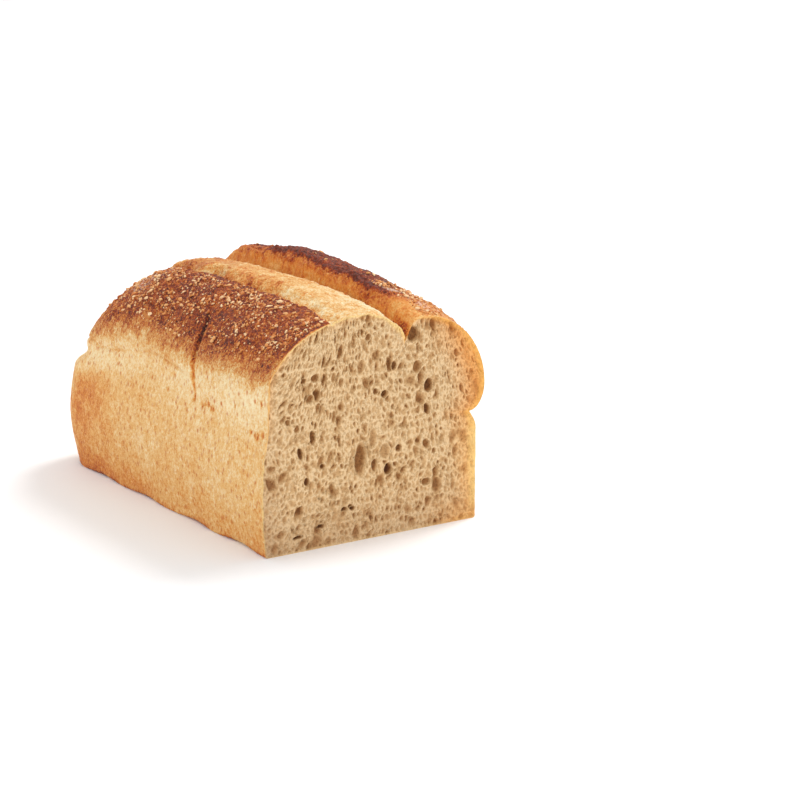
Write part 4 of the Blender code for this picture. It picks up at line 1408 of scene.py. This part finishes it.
    def pores(self, points: Array) -> tuple[Array, Array]:
        """The crumb's hollows: layers of cells, with the large pores of the table cut into them.

        Args:
            points: places (x, z).

        Returns:
            The depth at each place, and how hollow it looks there from 0 to 1.
        """
        small, broad = [
            np.stack([flat_noise(points, size, seed) for seed in seeds], axis=-1)
            for size, seeds in ((0.0016, (81, 82)), (0.006, (83, 84)))
        ]
        warp = 0.30 * MM * small + 0.7 * MM * broad
        *layers, finest = [self.cell_layer(self.drawn(points + warp), kind) for kind in self.sizes]
        depth = np.maximum.reduce([layer[0] for layer in layers]) + 0.7 * finest[0]
        look = np.maximum.reduce([layer[1] for layer in layers]) + 0.55 * finest[1]
        moved = points + 0.8 * warp
        for x, z, half, high, lean, tone in self.large:
            across, up = (moved - np.array([x, z])).T
            reach = np.hypot((across - lean * up) / half, up / high)
            inside = smooth(1.10, 0.50, reach)
            outside = 1.0 - smooth(1.22, 0.98, reach)
            depth = depth * outside + inside * (MM + 0.8 * half) * tone
            # Inside a large pore the painted shade grows with its tone.
            look = look * outside + inside * tone
        rough = 0.10 * MM * flat_noise(points, 0.0009, 85) + 0.20 * MM * flat_noise(points, 0.004, 86)
        return depth + 0.2 * MM + rough, look

    def looks(self, points: Array, edge: Array, look: Array) -> dict[str, Array]:
        """What the finish reads: how hollow (painted pore shade), how lit by the painted glow, and how
        shaded (painted shade) and crusted each place is.

        Args:
            points: places (x, z).
            edge: distances from the crust.
            look: how hollow each place looks, painted as shade in the pores.

        Returns:
            pit (painted shade in the pores), the painted glow of light through the crumb, shade (painted
            shade), rind and gold for each place, each from 0 to 1.
        """
        x, z = points.T
        # The painted glow: warm light through the crumb painted near the crust, strongest on the right and
        # high up; it also lightens the painted pore shade.
        high = smooth(0.045, 0.085, z)
        right = smooth(0.024, 0.058, x)
        near = smooth(0.024, 0.001, edge)
        thin = smooth(0.0045, 0.0005, edge)
        painted_glow = np.clip(near * right * (0.90 + 0.30 * high) + 0.35 * thin * (right + high), 0.0, 1.0)
        outer = smooth(0.046, 0.056, x) * smooth(0.094, 0.084, z)
        tip = smooth(0.004, 0.014, x) * smooth(0.022, 0.019, x) * smooth(0.090, 0.094, z)
        crown = smooth(0.026, 0.036, x) * smooth(0.082, 0.092, z)
        low = smooth(0.057, 0.047, z) * outer
        width = (1.4 + 3.6 * outer + 2.2 * low + 2.2 * tip + 1.8 * crown) * MM
        ragged = edge + 0.4 * MM * flat_noise(points, 0.0035, 87)
        rind = smooth(1.0, 0.05, ragged / width) * (0.70 + 0.12 * outer)
        rind = rind * blend(0.25, 1.0, smooth(0.002, 0.012, z))
        # Painted shade: the torn cavity beside the cleft is painted dark, as if shaded inside, and keeps no
        # rind.
        painted_cavity_shade = smooth(0.0044, 0.0024, np.hypot(x - 0.0224, z - 0.0960)) * smooth(0.0185, 0.0195, x)
        shade = 0.5 * smooth(0.030, 0.0, z) + 0.5 * smooth(-0.045, -0.062, x) * smooth(0.075, 0.03, z)
        gold = 0.8 * smooth(0.060, 0.040, z) + smooth(0.088, 0.098, z) * smooth(0.030, 0.012, x)
        # pit is painted shade in the pores, lightened where the painted glow is.
        return {
            "pit": np.maximum(look * (1.0 - 0.42 * painted_glow), 0.72 * painted_cavity_shade),
            "painted_glow": painted_glow,
            "shade": np.clip(shade, 0.0, 1.0),
            "rind": rind * (1.0 - painted_cavity_shade),
            "gold": np.clip(gold, 0.0, 1.0),
        }

    def build(self, material: bpy.types.Material) -> None:
        """Builds the crumb in two pieces that share a ring, and dresses them.

        Args:
            material: the crumb's finish.
        """
        points, faces, shares = self.lattice()
        away = np.linalg.norm(points - np.array(self.centre), axis=1)
        edge = (1.0 - shares) * away / np.maximum(shares, 1e-6)
        depth, look = self.pores(points)
        held = smooth(0.0, 1.4 * MM, edge)
        values = self.looks(points, edge, look * held)
        x, z = points.T
        places = self.crust.form.to_part(np.stack([x, depth * held, z], axis=-1))
        halves = {"crumb_edge": faces[: self.seam_ring], "crumb_heart": faces[self.seam_ring :]}
        for name, blocks in halves.items():
            block = np.concatenate(blocks)
            used, renamed = np.unique(block, return_inverse=True)
            piece = Piece(name, places[used], [renamed.reshape(block.shape)])
            piece.keep({key: value[used] for key, value in values.items()})
            piece.obj.data.shade_smooth()
            piece.dress(material)


@dataclass
class Bran:
    """Cracked bran on the dark shoulders: thin broken chips, most of them small, half sunk in the crust."""

    crust: Crust
    large: int = 800
    small: int = 3900
    large_length: Pair = (0.0017, 0.0036)
    small_length: Pair = (0.0006, 0.0018)
    large_tone: Pair = (0.28, 1.0)
    small_tone: Pair = (0.05, 0.95)
    seed: int = 23

    def weights(self) -> Array:
        """How densely the bran lies at each place of the crust's sides."""
        crust = self.crust
        points = crust.points[: crust.side_rings]
        y, z = points[..., 1], points[..., 2]
        along = np.linalg.norm(np.gradient(points, axis=0), axis=-1)
        around = np.linalg.norm(np.gradient(points, axis=1), axis=-1)
        left = crust.on(Stretch.SHOULDER_LEFT) * smooth(0.083, 0.098, z)
        left = left * (0.65 + 0.14 * smooth(0.075, 0.0, y) + 0.8 * smooth(0.120, 0.185, y))
        clear = smooth(0.996, 0.93, crust.share)[None, :]
        ridge = crust.form.crown_line(y[:, :1])["ear"][1] - z
        right = crust.on(Stretch.SHOULDER_RIGHT) * smooth(0.085, 0.100, z)
        right = right * (0.35 + 0.9 * smooth(0.075, 0.030, y))
        right = right * np.maximum(smooth(0.004, 0.010, ridge), 0.12 + smooth(0.070, 0.030, y))
        patch = 0.30 + 0.95 * smooth(-0.35, 0.5, noise(points, 0.009, 61))
        ends = smooth(0.0008, 0.004, y) * smooth(crust.form.length - 0.012, crust.form.length - 0.030, y)
        return (left * clear + right) * patch * ends * along * around

    def chip(self) -> tuple[Array, Array]:
        """Points and faces of one plain chip with twenty faces: an icosahedron."""
        g = (1.0 + 5.0**0.5) / 2.0
        points = np.array([
            (-1, g, 0), (1, g, 0), (-1, -g, 0), (1, -g, 0), (0, -1, g), (0, 1, g),
            (0, -1, -g), (0, 1, -g), (g, 0, -1), (g, 0, 1), (-g, 0, -1), (-g, 0, 1),
        ]) / np.hypot(1.0, g)
        faces = np.array([
            (0, 11, 5), (0, 5, 1), (0, 1, 7), (0, 7, 10), (0, 10, 11), (1, 5, 9), (5, 11, 4),
            (11, 10, 2), (10, 7, 6), (7, 1, 8), (3, 9, 4), (3, 4, 2), (3, 2, 6), (3, 6, 8),
            (3, 8, 9), (4, 9, 5), (2, 4, 11), (6, 2, 10), (8, 6, 7), (9, 8, 1),
        ])
        return points, faces

    def scatter(self, name: str, count: int, length: Pair, seed: int, tone: Pair) -> Piece:
        """Many chips as one piece: each is scaled, broken, turned on the crust's normal and half sunk.

        Args:
            name: the piece's name.
            count: how many chips.
            length: the least and greatest length.
            seed: for the random draws.
            tone: the least and greatest tone, 0 toasted to 1 pale.

        Returns:
            The piece.
        """
        rng = np.random.default_rng(seed)
        weights = self.weights()
        spots = rng.choice(weights.size, size=count, p=(weights / weights.sum()).ravel())
        place = self.crust.points[: self.crust.side_rings].reshape(-1, 3)[spots]
        normal = self.crust.normals[: self.crust.side_rings].reshape(-1, 3)[spots]
        points, faces = self.chip()
        size = length[0] + (length[1] - length[0]) * rng.random(count) ** 1.8
        width = size * rng.uniform(0.5, 0.85, count)
        scale = np.stack([size, width, size * rng.uniform(0.28, 0.56, count)], axis=-1)
        broken = rng.uniform(0.62, 1.15, (count, len(points), 1))
        local = points[None] * broken * (0.5 * scale)[:, None, :]
        up = normal + rng.normal(0.0, 0.22, (count, 3))
        up = up / np.linalg.norm(up, axis=1, keepdims=True)
        spin = rng.normal(size=(count, 3))
        side = np.cross(up, spin)
        side = side / np.linalg.norm(side, axis=1, keepdims=True)
        axes = np.stack([side, np.cross(up, side), up], axis=1)
        lift = 0.22 * scale[:, 2:3] * normal
        world = np.einsum("nki,nij->nkj", local, axes) + place[:, None, :] + lift[:, None, :]
        whole = (faces[None] + (np.arange(count) * len(points))[:, None, None]).reshape(-1, 3)
        piece = Piece(name, self.crust.form.to_part(world.reshape(-1, 3)), [whole])
        piece.keep({"tone": np.repeat(rng.uniform(*tone, count), len(points))})
        return piece

    def build(self, material: bpy.types.Material) -> None:
        """Builds and dresses the bran."""
        chips = self.scatter("bran_chips", self.large, self.large_length, self.seed, self.large_tone)
        chips.dress(material)
        crumbs = self.scatter("bran_crumbs", self.small, self.small_length, self.seed + 1, self.small_tone)
        crumbs.dress(material)


@dataclass
class Studio:
    """A plain white floor, soft light and the camera at the photograph's angle."""

    azimuth: float = -34.0
    elevation: float = 13.8
    distance: float = 1.0114
    target: Triple = (0.0131, -0.1105, 0.0650)
    lens: float = 96.75
    sensor: float = 36.0
    floor_size: float = 8.0
    floor_colour: tuple[float, float, float, float] = (0.94, 0.94, 0.95, 1.0)
    white: tuple[float, float, float, float] = (1.0, 1.0, 1.0, 1.0)
    sky: float = 0.86
    key_power: float = 1.7
    key_from: Triple = (1.0, 0.25, 1.25)
    key_softness: float = 22.0
    fill_power: float = 0.55
    fill_from: Triple = (-0.9, -1.0, 0.8)
    fill_softness: float = 60.0

    def camera(self) -> None:
        """Places the camera on its sphere about the target, looking at it."""
        a, e = np.radians([self.azimuth, self.elevation])
        back = Vector((np.sin(a) * np.cos(e), -np.cos(a) * np.cos(e), np.sin(e)))
        data = bpy.data.cameras.new("camera")
        data.lens = self.lens
        data.sensor_width = self.sensor
        obj = bpy.data.objects.new("camera", data)
        bpy.context.scene.collection.objects.link(obj)
        obj.location = Vector(self.target) + back * self.distance
        obj.rotation_euler = back.to_track_quat("Z", "Y").to_euler()
        bpy.context.scene.camera = obj

    def sun(self, name: str, power: float, source: Sequence[float], softness: float) -> None:
        """A soft distant light from a direction."""
        data = bpy.data.lights.new(name, "SUN")
        data.energy = power
        data.angle = np.radians(softness)
        obj = bpy.data.objects.new(name, data)
        obj.rotation_euler = Vector(source).to_track_quat("Z", "Y").to_euler()
        bpy.context.scene.collection.objects.link(obj)

    def world(self) -> None:
        """A white surround that lights the loaf softly and shows as plain white behind it."""
        world = bpy.data.worlds.new("surround")
        world.use_nodes = True
        bpy.context.scene.world = world
        tree = world.node_tree
        lit = tree.nodes["Background"]
        lit.inputs["Color"].default_value = self.white
        lit.inputs["Strength"].default_value = self.sky
        seen = tree.nodes.new("ShaderNodeBackground")
        seen.inputs["Color"].default_value = self.white
        path = tree.nodes.new("ShaderNodeLightPath")
        either = tree.nodes.new("ShaderNodeMixShader")
        tree.links.new(path.outputs["Is Camera Ray"], either.inputs["Fac"])
        tree.links.new(lit.outputs["Background"], either.inputs[1])
        tree.links.new(seen.outputs["Background"], either.inputs[2])
        tree.links.new(either.outputs["Shader"], tree.nodes["World Output"].inputs["Surface"])

    def floor(self) -> None:
        """A square white floor under the loaf."""
        half = 0.5 * self.floor_size
        points = np.array([(-half, -half, 0.0), (half, -half, 0.0), (half, half, 0.0), (-half, half, 0.0)])
        floor = Piece("floor", points, [np.array([[0, 1, 2, 3]])])
        net = Net("white_floor")
        net.shader.inputs["Base Color"].default_value = self.floor_colour
        net.shader.inputs["Roughness"].default_value = 0.7
        net.shader.inputs["Specular IOR Level"].default_value = 0.2
        floor.obj.data.materials.append(net.material)

    def build(self) -> None:
        """Sets the whole studio up."""
        self.camera()
        self.world()
        self.floor()
        self.sun("key", self.key_power, self.key_from, self.key_softness)
        self.sun("fill", self.fill_power, self.fill_from, self.fill_softness)
        view = bpy.context.scene.view_settings
        view.view_transform = "Standard"
        view.look = "None"


def main() -> None:
    """Builds the loaf's pieces and the studio in order."""
    logging.basicConfig(level=logging.INFO, format="%(name)s: %(message)s")
    crust = Crust()
    crust.build(CrustFinish().build())
    Crumb(crust).build(CrumbFinish().build())
    Bran(crust).build(BranFinish().build())
    Studio().build()


if __name__ == "__main__":
    main()
